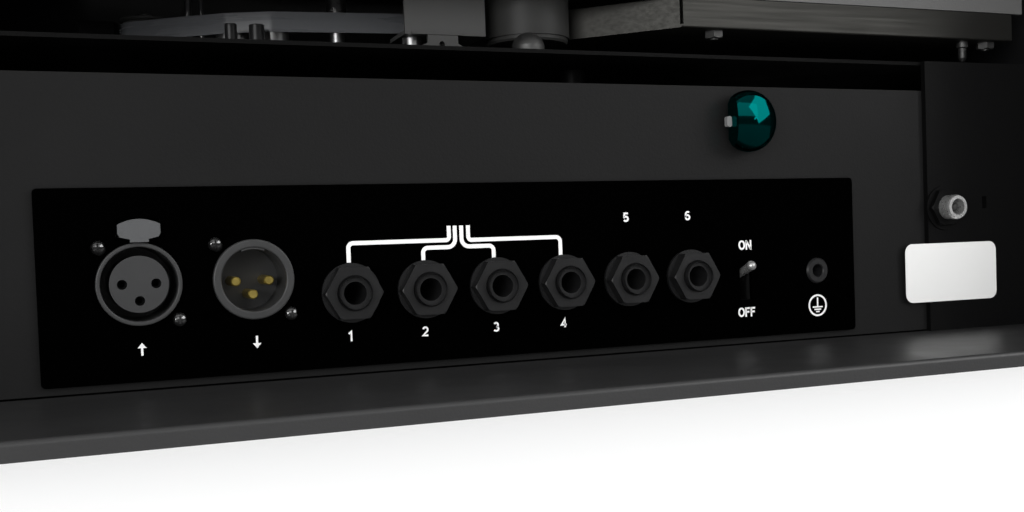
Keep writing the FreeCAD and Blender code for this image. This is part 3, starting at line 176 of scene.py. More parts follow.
# ---------------------------------------------------------------- materials
class Shader:
    """A material's node tree with a Principled shader, and short calls to wire it."""

    def __init__(self, name):
        self.material = bpy.data.materials.new(name)
        self.material.use_nodes = True
        self.nodes = self.material.node_tree.nodes
        self.links = self.material.node_tree.links
        self.bsdf = self.nodes["Principled BSDF"]
        self.place = self.nodes.new("ShaderNodeTexCoord").outputs["Object"]

    def set(self, **values):
        for socket, value in values.items():
            self.bsdf.inputs[socket.replace("_", " ")].default_value = value

    def stretched(self, scale):
        """Object coordinates in metres, multiplied by a factor per axis."""
        node = self.nodes.new("ShaderNodeMapping")
        node.inputs["Scale"].default_value = scale
        self.links.new(self.place, node.inputs["Vector"])
        return node.outputs["Vector"]

    def noise(self, scale, detail=3.0, vector=None):
        node = self.nodes.new("ShaderNodeTexNoise")
        node.inputs["Scale"].default_value = scale
        node.inputs["Detail"].default_value = detail
        self.links.new(vector or self.place, node.inputs["Vector"])
        return node.outputs["Fac"]

    def voronoi(self, scale):
        node = self.nodes.new("ShaderNodeTexVoronoi")
        node.inputs["Scale"].default_value = scale
        self.links.new(self.place, node.inputs["Vector"])
        return node.outputs["Distance"]

    def range(self, value, low, high, start=0.3, end=0.7):
        """A value mapped from start..end, where most noise lies, to low..high."""
        node = self.nodes.new("ShaderNodeMapRange")
        node.inputs["From Min"].default_value = start
        node.inputs["From Max"].default_value = end
        node.inputs["To Min"].default_value = low
        node.inputs["To Max"].default_value = high
        self.links.new(value, node.inputs["Value"])
        return node.outputs["Result"]

    def mixed(self, share, low, high):
        """Colour between two colours by a 0 to 1 value."""
        node = self.nodes.new("ShaderNodeMix")
        node.data_type = "RGBA"
        self.links.new(share, node.inputs["Factor"])
        for socket, colour in (("A", low), ("B", high)):
            target = [s for s in node.inputs if s.name == socket and s.type == "RGBA"][0]
            target.default_value = (*colour, 1)
        return [s for s in node.outputs if s.type == "RGBA"][0]

    def join(self, value, socket):
        self.links.new(value, self.bsdf.inputs[socket])

    def bump(self, height, strength, distance):
        node = self.nodes.new("ShaderNodeBump")
        node.inputs["Strength"].default_value = strength
        node.inputs["Distance"].default_value = distance
        self.links.new(height, node.inputs["Height"])
        self.links.new(node.outputs["Normal"], self.bsdf.inputs["Normal"])


def shade(colour, factor):
    return tuple(min(1.0, channel * factor) for channel in colour)


def painted(name, colour, rough=0.45, specular=0.5, texture=0.25):
    """Powder-coated or sprayed sheet: fine orange peel and slightly uneven gloss."""
    s = Shader(name)
    cloud = s.noise(9.0, detail=4.0)
    s.join(s.mixed(cloud, shade(colour, 0.88), shade(colour, 1.12)), "Base Color")
    s.join(s.range(s.noise(35.0), rough - 0.05, rough + 0.06), "Roughness")
    s.bump(s.noise(1400.0, detail=2.0), texture, 0.0002)
    s.set(Specular_IOR_Level=specular)
    return s.material


def plastic(name, colour, rough=0.4, specular=0.5, grain=0.12):
    """Moulded plastic: fine spark-erosion grain."""
    s = Shader(name)
    s.join(s.mixed(s.noise(60.0), shade(colour, 0.9), shade(colour, 1.1)), "Base Color")
    s.join(s.range(s.noise(220.0), rough - 0.06, rough + 0.06), "Roughness")
    s.bump(s.voronoi(3200.0), grain, 0.00008)
    s.set(Specular_IOR_Level=specular)
    return s.material


def metal(name, colour, rough=0.3, along=(1, 1, 1), brush=0.15, spread=0.1, bare=1.0):
    """Bare or plated metal, with brush lines that run along the axis of the small factor.
    spread is how far its tone wanders, and bare below 1 leaves it a little dulled."""
    s = Shader(name)
    lines = s.noise(900.0, detail=3.0, vector=s.stretched(along))
    s.join(s.mixed(s.noise(30.0), shade(colour, 1 - spread), shade(colour, 1 + spread)),
           "Base Color")
    s.join(s.range(lines, rough - 0.07, rough + 0.09), "Roughness")
    s.bump(lines, brush, 0.00012)
    s.set(Metallic=bare)
    return s.material


def rubber(name, colour):
    s = Shader(name)
    s.join(s.mixed(s.noise(80.0), shade(colour, 0.8), shade(colour, 1.25)), "Base Color")
    s.join(s.range(s.noise(300.0), 0.6, 0.8), "Roughness")
    s.bump(s.noise(2500.0), 0.3, 0.0001)
    s.set(Specular_IOR_Level=0.35)
    return s.material


def turned_teal():
    """Anodised knob: deep teal metal with fine turning marks."""
    s = Shader("teal_anodised")
    s.join(s.mixed(s.noise(45.0), (0.0, 0.068, 0.067), (0.0, 0.077, 0.076)), "Base Color")
    s.join(s.range(s.noise(500.0), 0.05, 0.08), "Roughness")
    s.bump(s.noise(1600.0), 0.03, 0.00004)
    s.set(Metallic=1.0, Specular_Tint=(0.02, 0.5, 0.49, 1.0))
    return s.material


def clear_lens():
    s = Shader("clear_lens")
    s.join(s.range(s.noise(25.0), 0.02, 0.05), "Roughness")
    s.set(Transmission_Weight=1.0, IOR=1.45, Base_Color=(0.95, 0.98, 0.97, 1.0))
    return s.material


def circuit_board():
    s = Shader("circuit_board")
    tracks = s.voronoi(240.0)
    s.join(s.mixed(s.range(tracks, 0.0, 1.0, 0.1, 0.5), (0.012, 0.05, 0.025), (0.02, 0.09, 0.045)),
           "Base Color")
    s.join(s.range(s.noise(200.0), 0.3, 0.5), "Roughness")
    s.bump(tracks, 0.3, 0.0001)
    return s.material


def magnetic_tape():
    s = Shader("magnetic_tape")
    streaks = s.noise(500.0, vector=s.stretched((0.05, 0.05, 1.0)))
    s.join(s.mixed(streaks, (0.085, 0.088, 0.094), (0.105, 0.109, 0.117)), "Base Color")
    s.join(s.range(streaks, 0.22, 0.34), "Roughness")
    s.bump(streaks, 0.05, 0.00005)
    return s.material


def paper_label():
    s = Shader("paper_label")
    s.join(s.mixed(s.noise(50.0), (0.78, 0.78, 0.77), (0.82, 0.82, 0.81)), "Base Color")
    s.join(s.range(s.noise(300.0), 0.35, 0.5), "Roughness")
    s.bump(s.noise(3000.0), 0.08, 0.00004)
    return s.material


def white_ink():
    s = Shader("white_ink")
    s.join(s.mixed(s.noise(700.0), (0.74, 0.74, 0.74), (0.84, 0.84, 0.84)), "Base Color")
    s.join(s.range(s.noise(300.0), 0.45, 0.6), "Roughness")
    s.bump(s.noise(5000.0), 0.1, 0.00003)
    return s.material


def make_materials():
    return {
        "body_black": painted("body_black", (0.0085, 0.0085, 0.009), rough=0.4, specular=0.4),
        "pan_black": painted("pan_black", (0.028, 0.028, 0.0285), rough=0.38, specular=0.5),
        "cover_grey": painted("cover_grey", (0.098, 0.098, 0.097), rough=0.5, specular=0.3),
        "panel_grey": painted("panel_grey", (0.0105, 0.0105, 0.0106), rough=0.4, specular=0.1,
                              texture=0.15),
        "power_black": painted("power_black", (0.0036, 0.0036, 0.0037), rough=0.42, specular=0.1),
        "deck_black": painted("deck_black", (0.0028, 0.0028, 0.0028), rough=0.5, specular=0.08),
        "plate_black": painted("plate_black", (0.0003, 0.0003, 0.0003), rough=0.5, specular=0.0,
                               texture=0.05),
        "tray_metal": metal("tray_metal", (0.08, 0.079, 0.0735), rough=0.5, along=(0.03, 1, 1),
                            brush=0.08),
        "zinc": metal("zinc", (0.22, 0.22, 0.215), rough=0.38),
        "dull_zinc": metal("dull_zinc", (0.13, 0.13, 0.128), rough=0.55),
        "bright_steel": metal("bright_steel", (0.50, 0.50, 0.49), rough=0.2, brush=0.05),
        "nickel": metal("nickel", (0.38, 0.38, 0.38), rough=0.34, brush=0.06),
        "head_metal": metal("head_metal", (0.018, 0.018, 0.0185), rough=0.4),
        "shield_grey": painted("shield_grey", (0.045, 0.045, 0.044), rough=0.45, specular=0.3,
                               texture=0.08),
        "drum_grey": painted("drum_grey", (0.026, 0.026, 0.0252), rough=0.45, specular=0.2,
                             texture=0.05),
        "shell_grey": plastic("shell_grey", (0.037, 0.0375, 0.038), rough=0.38, specular=0.4),
        "insert_grey": plastic("insert_grey", (0.036, 0.0365, 0.0375), rough=0.5, specular=0.3),
        "latch_grey": plastic("latch_grey", (0.074, 0.076, 0.079), rough=0.42, specular=0.4),
        "jack_black": plastic("jack_black", (0.0115, 0.0115, 0.012), rough=0.36, specular=0.35),
        "screw_black": metal("screw_black", (0.19, 0.19, 0.19), rough=0.1, brush=0.02,
                             spread=0.05),
        "flat_black": plastic("flat_black", (0.0035, 0.0035, 0.0036), rough=0.5, specular=0.25),
        "satin_nickel": metal("satin_nickel", (0.62, 0.62, 0.615), rough=0.3, brush=0.09,
                              bare=0.8),
        "gold": metal("gold", (0.68, 0.52, 0.14), rough=0.34, brush=0.04),
        "brass": metal("brass", (0.50, 0.36, 0.16), rough=0.34),
        "teal": turned_teal(),
        "rubber": rubber("rubber", (0.016, 0.016, 0.017)),
        "tape": magnetic_tape(),
        "board": circuit_board(),
        "lens": clear_lens(),
        "dial_cream": plastic("dial_cream", (0.72, 0.66, 0.48), rough=0.55, grain=0.04),
        "ink_white": white_ink(),
        "ink_black": plastic("ink_black", (0.012, 0.012, 0.012), rough=0.6, grain=0.02),
        # Mid grey rather than white: the white index tab's colour darkened as painted shade.
        "mark_grey_painted_shade": plastic("mark_grey_painted_shade", (0.21, 0.21, 0.21), rough=0.45, grain=0.03),
        "label": paper_label(),
    }


MATERIALS = make_materials()

NODE_MATERIALS = {
    "body_black": ["side_wall_right", "side_wall_left", "front_panel"],
    "pan_black": ["floor_pan"],
    "cover_grey": ["top_cover", "tape_lid"],
    "panel_grey": ["rear_panel"],
    "power_black": ["power_panel", "power_inlet_nut"],
    "deck_black": ["deck_plate", "deck_pillars"],
    "plate_black": ["jack_plate"],
    "tray_metal": ["tape_tray"],
    "dull_zinc": ["tray_nuts"],
    "zinc": ["lid_hinge", "head_bridge", "flywheel", "pinch_arm", "spring_tank",
             "potentiometers", "drive_motor"],
    "bright_steel": ["capstan_shaft", "pinch_spring", "power_switch_lever"],
    "nickel": ["guide_posts"],
    "satin_nickel": ["power_inlet", "stop_switch_lever"],
    "head_metal": ["tape_heads"],
    "shield_grey": ["head_shield"],
    "drum_grey": ["idler_drum", "corner_roller_rear", "corner_roller_front"],
    "shell_grey": ["input_shell", "output_shell"],
    "insert_grey": ["input_insert"],
    "latch_grey": ["input_latch"],
    "jack_black": ["jack_bodies", "jack_nuts", "earth_socket", "meter_case", "meter_needle"],
    "flat_black": ["switch_bodies"],
    "screw_black": ["connector_screws"],
    "gold": ["output_pins"],
    "brass": ["capstan_bearing", "motor_pulley"],
    "teal": ["rear_knob", "input_knob", "bass_knob", "treble_knob", "reverb_knob", "rate_knob",
             "intensity_knob", "echo_knob", "selector_knob"],
    "rubber": ["pinch_roller", "drive_belt"],
    "tape": ["tape_loop"],
    "board": ["circuit_boards"],
    "lens": ["meter_lens"],
}


def dress_nodes():
    """Gives every CAD node its material; stops if one is left without."""
    for material, names in NODE_MATERIALS.items():
        for name in names:
            for slot in NODES[name].material_slots:
                slot.material = MATERIALS[material]
    bare = set(NODES) - {name for names in NODE_MATERIALS.values() for name in names}
    assert not bare, sorted(bare)


# ---------------------------------------------------------------- piece helpers
def add_piece(name, mesh, material, body):
    """Links a mesh in row-frame metres as a piece that rides on a body."""
    piece = bpy.data.objects.new(name, mesh)
    bpy.context.scene.collection.objects.link(piece)
    mesh.materials.clear()
    mesh.materials.append(MATERIALS[material])
    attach(piece, body)


def mesh_from(bm, name, smooth_angle=None):
    mesh = bpy.data.meshes.new(name)
    bmesh.ops.recalc_face_normals(bm, faces=bm.faces)
    bm.to_mesh(mesh)
    bm.free()
    if smooth_angle is not None:
        mesh.shade_smooth()
        mesh.set_sharp_from_angle(angle=math.radians(smooth_angle))
    return mesh


def flat_outline(bm, points, face, depth, low, high):
    """Prism over a closed outline in millimetres on a face plane at y = depth."""
    rings = []
    for level in (low, high):
        ring = []
        for x, y in points:
            ring.append(bm.verts.new(Matrix.Translation((0, depth * MM, 0)) @ face
                                     @ Vector((x * MM, y * MM, level * MM))))
        rings.append(ring)
    bm.faces.new(rings[0][::-1])
    bm.faces.new(rings[1])
    count = len(points)
    for n in range(count):
        m = (n + 1) % count
        bm.faces.new((rings[0][n], rings[0][m], rings[1][m], rings[1][n]))


def rounded_rectangle(width, height, radius, centre=(0, 0), steps=6):
    """Closed outline of a rectangle with round corners."""
    points = []
    for sx, sy, start in ((1, -1, 270), (1, 1, 0), (-1, 1, 90), (-1, -1, 180)):
        cx = centre[0] + sx * (width / 2 - radius)
        cy = centre[1] + sy * (height / 2 - radius)
        for n in range(steps + 1):
            angle = math.radians(start + 90 * n / steps)
            points.append((cx + radius * math.cos(angle), cy + radius * math.sin(angle)))
    return points


def rounded_path(points, radii, steps=6):
    """Open line through points with a round bend of its own radius at each inner point."""
    path = [points[0]]
    for n in range(1, len(points) - 1):
        here, radius = Vector(points[n]), radii[n - 1]
        way_in = (here - Vector(points[n - 1])).normalized()
        way_out = (Vector(points[n + 1]) - here).normalized()
        turn = way_in.angle_signed(way_out)
        start = here - way_in * radius * math.tan(abs(turn) / 2)
        side = 1 if turn < 0 else -1
        centre = start + Vector((-way_in.y, way_in.x)) * radius * side
        arm = start - centre
        for k in range(steps + 1):
            angle = -turn * k / steps
            spoke = Vector((arm.x * math.cos(angle) - arm.y * math.sin(angle),
                            arm.x * math.sin(angle) + arm.y * math.cos(angle)))
            path.append(tuple(centre + spoke))
    path.append(points[-1])
    return path


def arc(cx, cy, rx, ry, start, end, steps=14):
    """Points of an elliptic arc, angles in degrees."""
    points = []
    for n in range(steps + 1):
        angle = math.radians(start + (end - start) * n / steps)
        points.append((cx + rx * math.cos(angle), cy + ry * math.sin(angle)))
    return points


def stroke(bm, points, width, face, depth, high=PRINT_THICK, closed=False):
    """Raised line of a given width along points in millimetres on a face plane."""
    place = Matrix.Translation((0, depth * MM, 0)) @ face
    count = len(points)
    rows = []
    for n, point in enumerate(points):
        here = Vector(point)
        before = Vector(points[n - 1]) if n or closed else None
        after = Vector(points[(n + 1) % count]) if n + 1 < count or closed else None
        way_in = (here - before).normalized() if before else (after - here).normalized()
        way_out = (after - here).normalized() if after else way_in
        normal = Vector((-way_in.y, way_in.x))
        mitre = (normal + Vector((-way_out.y, way_out.x))).normalized()
        reach = mitre * width / 2 / max(0.5, mitre.dot(normal))
        corners = []
        for side in (here + reach, here - reach):
            for level in (0.0, high):
                corners.append(bm.verts.new(place @ Vector((side.x * MM, side.y * MM,
                                                            level * MM))))
        rows.append(corners)
    for n in range(count if closed else count - 1):
        a, b = rows[n], rows[(n + 1) % count]
        for i, j in ((0, 1), (1, 3), (3, 2), (2, 0)):
            bm.faces.new((a[i], a[j], b[j], b[i]))
    if not closed:
        for row in (rows[0], rows[-1]):
            bm.faces.new((row[0], row[1], row[3], row[2]))


# Characters as centre lines in a cell of height 1; each has its width and its strokes.
GLYPHS = {
    "0": (0.70, [arc(0, 0.5, 0.24, 0.40, 90, 450, 24)]),
    "1": (0.52, [[(-0.20, 0.72), (0.05, 0.92), (0.05, 0)]]),
    "2": (0.68, [arc(0, 0.66, 0.23, 0.245, 165, -30) + [(-0.24, 0.10), (0.29, 0.10)]]),
    "3": (0.68, [arc(-0.02, 0.695, 0.21, 0.21, 150, -85),
                 arc(-0.02, 0.295, 0.25, 0.20, 85, -150)]),
    "4": (0.70, [[(0.13, 0), (0.13, 0.90), (-0.25, 0.28), (0.31, 0.28)]]),
    "5": (0.68, [[(0.24, 0.905), (-0.17, 0.905), (-0.21, 0.50)]
                 + arc(-0.01, 0.33, 0.25, 0.235, 135, -150)]),
    "6": (0.68, [arc(0.02, 0.54, 0.26, 0.37, 50, 180) + arc(0, 0.32, 0.24, 0.225, 180, 540, 24)]),
    "7": (0.62, [[(-0.25, 0.905), (0.25, 0.905), (-0.08, 0)]]),
    "8": (0.70, [arc(0, 0.70, 0.20, 0.20, -90, 270, 20), arc(0, 0.29, 0.25, 0.20, 90, 450, 20)]),
    "9": (0.68, [arc(-0.02, 0.46, 0.26, 0.37, 230, 360) + arc(0, 0.68, 0.24, 0.225, 0, 360, 24)]),
    "O": (0.84, [arc(0, 0.5, 0.31, 0.405, 90, 450, 24)]),
    "N": (0.80, [[(-0.26, 0), (-0.26, 1)], [(-0.26, 0.93), (0.26, 0.07)], [(0.26, 0), (0.26, 1)]]),
    "F": (0.66, [[(-0.20, 0), (-0.20, 1)], [(-0.20, 0.905), (0.27, 0.905)],
                 [(-0.20, 0.52), (0.21, 0.52)]]),
}


def words(bm, text, height, centre, face, depth, weight=0.19):
    """Raised characters centred on a point of a face, from the strokes above."""
    widths = [GLYPHS[letter][0] for letter in text]
    x = -sum(widths) / 2
    for letter, width in zip(text, widths):
        for line in GLYPHS[letter][1]:
            points = [(centre[0] + (x + width / 2 + px) * height, centre[1] + (py - 0.5) * height)
                      for px, py in line]
            stroke(bm, points, weight * height, face, depth)
        x += width


def turned(bm, outline, place, steps=32, shape=None):
    """Surface of revolution about local z; outline is (radius, height) in millimetres.
    shape(ring, angle) gives a factor on a ring's radius, for a ring that isn't round."""
    rings = []
    for index, (radius, height) in enumerate(outline):
        if radius == 0:
            rings.append([bm.verts.new(place @ Vector((0, 0, height * MM)))])
            continue
        ring = []
        for n in range(steps):
            angle = 2 * math.pi * n / steps
            reach = radius * (shape(index, angle) if shape else 1.0) * MM
            ring.append(bm.verts.new(place @ Vector((reach * math.cos(angle),
                                                     reach * math.sin(angle), height * MM))))
        rings.append(ring)
    for low, high in zip(rings, rings[1:]):
        for n in range(steps):
            m = (n + 1) % steps
            if len(low) == 1:
                bm.faces.new((low[0], high[m], high[n]))
            elif len(high) == 1:
                bm.faces.new((low[n], low[m], high[0]))
            else:
                bm.faces.new((low[n], low[m], high[m], high[n]))


def on_face(face, depth, x, y):
    """Local frame at a point of a face plane, x and y in millimetres along the face."""
    return (Matrix.Translation((0, depth * MM, 0)) @ face
            @ Matrix.Translation((x * MM, y * MM, 0)))


def hexagon(angle):
    """Radius of a hexagon of inner radius 1 at an angle."""
    return 1.0 / math.cos((angle % (math.pi / 3)) - math.pi / 6)


def button_screws(name, places, radius=2.6, material="screw_black"):
    """Button-head screws with a hexagon socket, at local frames."""
    bm = bmesh.new()
    outline = [(radius, 0), (radius, 0.25 * radius), (0.86 * radius, 0.48 * radius),
               (0.62 * radius, 0.60 * radius), (0.50 * radius, 0.63 * radius),
               (0.46 * radius, 0.60 * radius), (0.46 * radius, 0.18 * radius), (0, 0.12 * radius)]
    for place in places:
        turned(bm, outline, place, steps=24,
               shape=lambda ring, angle: hexagon(angle) if ring in (5, 6) else 1.0)
    add_piece(name, mesh_from(bm, name, 35), material, "chassis")


# ---------------------------------------------------------------- rear prints and label
def rear_words(bm, text, height, x, z):
    words(bm, text, height, (-x, z), REAR_FACE, PLATE_Y)


def jack_numbers():
    """Numbers under the first four jacks and over the last two, and the stop switch's words."""
    bm = bmesh.new()
    for n in range(4):
        rear_words(bm, str(n + 1), NUMBER_TALL, JACK_X[n] + 0.5, LOW_NUMBER_Z)
    for n in (4, 5):
        rear_words(bm, str(n + 1), NUMBER_TALL, JACK_X[n] + 0.2, HIGH_NUMBER_Z)
    rear_words(bm, "ON", SWITCH_WORD_TALL, SWITCH_X, ON_Z)
    rear_words(bm, "OFF", SWITCH_WORD_TALL, SWITCH_X, OFF_Z)
    add_piece("jack_numbers", mesh_from(bm, "jack_numbers"), "ink_white", "chassis")


def way_arrows():
    """An arrow into the input and one out of the output, under their rings."""
    bm = bmesh.new()
    half = [(0.3, -1.7), (0.3, 0.3), (1.15, 0.3), (0.0, 1.7)]
    outline = half + [(-x, z) for x, z in reversed(half[:-1])]
    for centre, way in ((INPUT_X, 1), (OUTPUT_X, -1)):
        points = [(-centre + x, ARROW_Z + way * z) for x, z in outline]
        flat_outline(bm, points, REAR_FACE, PLATE_Y, 0.0, PRINT_THICK)
    add_piece("way_arrows", mesh_from(bm, "way_arrows"), "ink_white", "chassis")


def earth_symbol():
    """A ring round an upright and three bars, each shorter than the one above."""
    bm = bmesh.new()
    x, z = -EARTH_SYMBOL[0], EARTH_SYMBOL[1]
    ring = arc(x, z, EARTH_RING_R, EARTH_RING_R, 0, 354, 58)
    stroke(bm, ring, 0.62, REAR_FACE, PLATE_Y, closed=True)
    stroke(bm, [(x, z + 2.6), (x, z - 0.4)], 0.55, REAR_FACE, PLATE_Y)
    for drop, half in ((0.55, 2.0), (1.35, 1.35), (2.1, 0.7)):
        stroke(bm, [(x - half, z - drop), (x + half, z - drop)], 0.45, REAR_FACE, PLATE_Y)
    add_piece("earth_symbol", mesh_from(bm, "earth_symbol"), "ink_white", "chassis")


def routing_lines():
    """Four lines that leave one bundle and come down over the first four jacks."""
    bm = bmesh.new()
    for start, shelf, end, foot, radii in ROUTES:
        corners = [(-start, ROUTE_TOP), (-start, shelf), (-end, shelf), (-end, foot)]
        stroke(bm, rounded_path(corners, radii), ROUTE_WIDTH, REAR_FACE, PLATE_Y)
    add_piece("routing_lines", mesh_from(bm, "routing_lines"), "ink_white", "chassis")


def rating_label():
    """Blank white label on the power section."""
    bm = bmesh.new()
    outline = rounded_rectangle(*LABEL_SIZE, LABEL_CORNER, centre=LABEL_CENTRE)
    flat_outline(bm, outline, REAR_FACE, POWER_Y, 0.0, LABEL_THICK)
    add_piece("rating_label", mesh_from(bm, "rating_label"), "label", "chassis")


# ---------------------------------------------------------------- rear connector details
def thread_outline(radius, proud, start, count):
    """Outline of thread crests on a barrel, from a height on."""
    crests = []
    for n in range(count):
        base = start + n * THREAD_PITCH
        crests += [(radius, base), (radius + proud, base + CREST_TIP), (radius, base + CREST_END)]
    return crests


def jack_threads():
    """Thread crests on the bare end of every jack bush."""
    bm = bmesh.new()
    sunk = BUSH_R - 0.03
    outline = ([(sunk, NUT_OUT - 0.4)] + thread_outline(BUSH_R, 0.045, NUT_OUT - 0.2, 3)
               + [(sunk, BUSH_OUT - 0.1)])
    for x in JACK_X:
        turned(bm, outline, on_face(REAR_FACE, PLATE_Y, -x, JACK_Z))
    add_piece("jack_threads", mesh_from(bm, "jack_threads", 40), "jack_black", "chassis")


def input_contacts():
    """Socket sleeves set back in the three holes of the input insert."""
    bm = bmesh.new()
    for dx, dz in CONTACTS:
        place = on_face(REAR_FACE, PLATE_Y - CONTACT_DEPTH, -(INPUT_X + dx), AUDIO_Z + dz)
        turned(bm, [(1.22, 0), (1.22, 3.6), (1.1, 3.9), (0.85, 3.9), (0.72, 3.6), (0.72, 0)], place,
               steps=20)
    add_piece("input_contacts", mesh_from(bm, "input_contacts", 40), "head_metal", "chassis")


def inlet_details():
    """Thread crests on the inlet's barrel and the pin on its axis."""
    bm = bmesh.new()
    place = on_face(REAR_FACE, POWER_Y, -INLET_X, INLET_Z)
    turned(bm, thread_outline(INLET_R, 0.065, INLET_THREAD_START, 4), place)
    add_piece("inlet_threads", mesh_from(bm, "inlet_threads", 40), "satin_nickel", "chassis")
    bm = bmesh.new()
    turned(bm, [(1.25, -2.9), (1.25, 5.3), (1.0, 5.75), (0, 5.9)], place, steps=24)
    add_piece("inlet_pin", mesh_from(bm, "inlet_pin", 40), "dull_zinc", "chassis")


def foot_seam():
    """Black strip along the foot of the rear panel: painted shadow of the open joint where it meets
    the floor pan.
    """
    panel_low, panel_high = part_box("rear_panel")
    foot = panel_low.z / MM
    ends = (-panel_high.x / MM + 0.5, -panel_low.x / MM - 0.5)
    bm = bmesh.new()
    outline = [(ends[0], foot + 0.02), (ends[1], foot + 0.02), (ends[1], foot + 0.5),
               (ends[0], foot + 0.5)]
    flat_outline(bm, outline, REAR_FACE, REAR_Y, 0.0, 0.1)
    add_piece("foot_seam", mesh_from(bm, "foot_seam"), "plate_black", "chassis")


def post_sleeves():
    """Dark sleeves on the two short posts that stand in front of the tape."""
    bm = bmesh.new()
    for x, y, radius in SLEEVES:
        place = Matrix.Translation((x * MM, y * MM, SLEEVE_FOOT * MM))
        outline = [(radius, 0), (radius, SLEEVE_TALL - SLEEVE_CHAMFER),
                   (radius - SLEEVE_CHAMFER, SLEEVE_TALL), (0, SLEEVE_TALL)]
        turned(bm, outline, place, steps=28)
    add_piece("post_sleeves", mesh_from(bm, "post_sleeves", 40), "jack_black", "chassis")


def rear_knob_mark():
    """White index tab on the reader's left of the rear knob's rim, coloured mid grey as painted
    shade.
    """
    bm = bmesh.new()
    outline = rounded_rectangle(*TAB_SIZE, TAB_CORNER, centre=TAB_CENTRE)
    flat_outline(bm, outline, REAR_FACE, REAR_Y + TAB_OUT, 0.0, TAB_THICK)
    add_piece("rear_knob_mark", mesh_from(bm, "rear_knob_mark"), "mark_grey_painted_shade", "rear_control")


# ---------------------------------------------------------------- front face
def dial_point(x, z, radius, degrees):
    """Point on a dial; 0 degrees is up and angles run clockwise as read."""
    angle = math.radians(90 - degrees)
    return (x + radius * math.cos(angle), z + radius * math.sin(angle))


def dial_ring(bm, x, z, rim, numbers):
    """Tick marks and numbers round one knob."""
    for n, number in enumerate(numbers):
        degrees = -DIAL_SWEEP / 2 + DIAL_SWEEP * n / (len(numbers) - 1)
        tick = [dial_point(x, z, rim + out, degrees) for out in (TICK_START, TICK_END)]
        stroke(bm, tick, TICK_WIDE, FRONT_FACE, FRONT_Y)
        words(bm, str(number), DIAL_TEXT_TALL, dial_point(x, z, rim + DIAL_TEXT_OUT, degrees),
              FRONT_FACE, FRONT_Y)


def front_prints():
    """Dial rings, the power switch's words and the border line."""
    bm = bmesh.new()
    for knob in FRONT_KNOBS.values():
        dial_ring(bm, *knob, range(11))
    dial_ring(bm, *SELECTOR, range(1, 12))
    x, z = POWER_SWITCH
    words(bm, "ON", POWER_WORD_TALL, (x, z + POWER_WORD_OUT), FRONT_FACE, FRONT_Y)
    words(bm, "OFF", POWER_WORD_TALL, (x, z - POWER_WORD_OUT), FRONT_FACE, FRONT_Y)
    border = rounded_rectangle(*BORDER_SIZE, BORDER_CORNER, centre=BORDER_CENTRE)
    stroke(bm, border, BORDER_WIDE, FRONT_FACE, FRONT_Y, closed=True)
    add_piece("front_prints", mesh_from(bm, "front_prints"), "ink_white", "chassis")


def knob_marks():
    """A white line from the crown to the rim of every front knob."""
    for name, (x, z, rim) in dict(FRONT_KNOBS, selector=SELECTOR).items():
        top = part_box(name + "_knob")[0].y / MM
        bm = bmesh.new()
        stroke(bm, [(x, z + 0.30 * rim), (x, z + 0.66 * rim)], 1.1, FRONT_FACE, top + 0.5,
               high=0.45)
        add_piece(name + "_mark", mesh_from(bm, name + "_mark"), "ink_white", name + "_control")


def meter_dial():
    """Cream plate behind the needle with an arc, ticks and numbers."""
    x, z = METER
    wide, tall = METER_SIZE[0] - 2 * METER_RIM, METER_SIZE[1] - 2 * METER_RIM
    back = FRONT_Y + METER_PLATE_OUT
    bm = bmesh.new()
    outline = rounded_rectangle(wide, tall, 1.0, centre=(x, z))
    flat_outline(bm, outline, FRONT_FACE, back, 0.0, METER_PLATE_THICK)
    add_piece("meter_plate", mesh_from(bm, "meter_plate"), "dial_cream", "chassis")
    bm = bmesh.new()
    front = back - METER_PLATE_THICK
    centre = (x, NEEDLE_Z)
    radius = METER_SCALE_R
    stroke(bm, arc(*centre, radius, radius, 135, 45, 30), 0.5, FRONT_FACE, front)
    for n, label in enumerate(("20", "10", "7", "5", "3", "0", "3")):
        degrees = -45 + 15 * n
        tick = [dial_point(*centre, radius + out, degrees) for out in (0.0, 2.5)]
        stroke(bm, tick, 0.5, FRONT_FACE, front)
        spot = dial_point(*centre, radius + 5.0, degrees)
        words(bm, label, METER_TEXT_TALL, spot, FRONT_FACE, front)
    stroke(bm, arc(*centre, radius - 1.4, radius - 1.4, 66, 45, 10), 1.2, FRONT_FACE, front)
    add_piece("meter_scale", mesh_from(bm, "meter_scale"), "ink_black", "chassis")


# ---------------------------------------------------------------- screws of the case
def case_screws():
    """Screws of the front panel, of the cover's two sides and of the rear panel."""
    places = [on_face(FRONT_FACE, FRONT_Y, x, z) for x, z in FRONT_SCREWS]
    button_screws("front_screws", places)
    low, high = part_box("top_cover")
    places = []
    for y in COVER_SCREW_Y:
        for side, quarter in ((high.x, math.pi / 2), (low.x, -math.pi / 2)):
            places.append(Matrix.Translation((side, y * MM, COVER_SCREW_Z * MM))
                          @ Matrix.Rotation(quarter, 4, "Y"))
    button_screws("cover_screws", places, radius=2.0)
    places = [on_face(REAR_FACE, REAR_Y, -x, z) for x, z in PANEL_SCREWS]
    button_screws("panel_screws", places, radius=1.6, material="power_black")


# ---------------------------------------------------------------- camera, lights and stage
def make_camera():
    yaw, pitch, roll = (math.radians(turn) for turn in (CAMERA_YAW, CAMERA_PITCH, CAMERA_ROLL))
    data = bpy.data.cameras.new("camera")
    data.sensor_width = SENSOR_WIDE
    data.lens = FOCAL_PIXELS / PICTURE_WIDE * SENSOR_WIDE
    data.shift_y = CAMERA_SHIFT_Y
    data.clip_start = 0.01
    data.clip_end = 50
    camera = bpy.data.objects.new("camera", data)
    camera.matrix_world = (Matrix.Translation(CAMERA_PLACE)
                           @ Matrix.Rotation(math.pi - yaw, 4, "Z")
                           @ Matrix.Rotation(math.pi / 2 - pitch, 4, "X")
                           @ Matrix.Rotation(-roll, 4, "Z"))
    bpy.context.scene.collection.objects.link(camera)
    bpy.context.scene.camera = camera


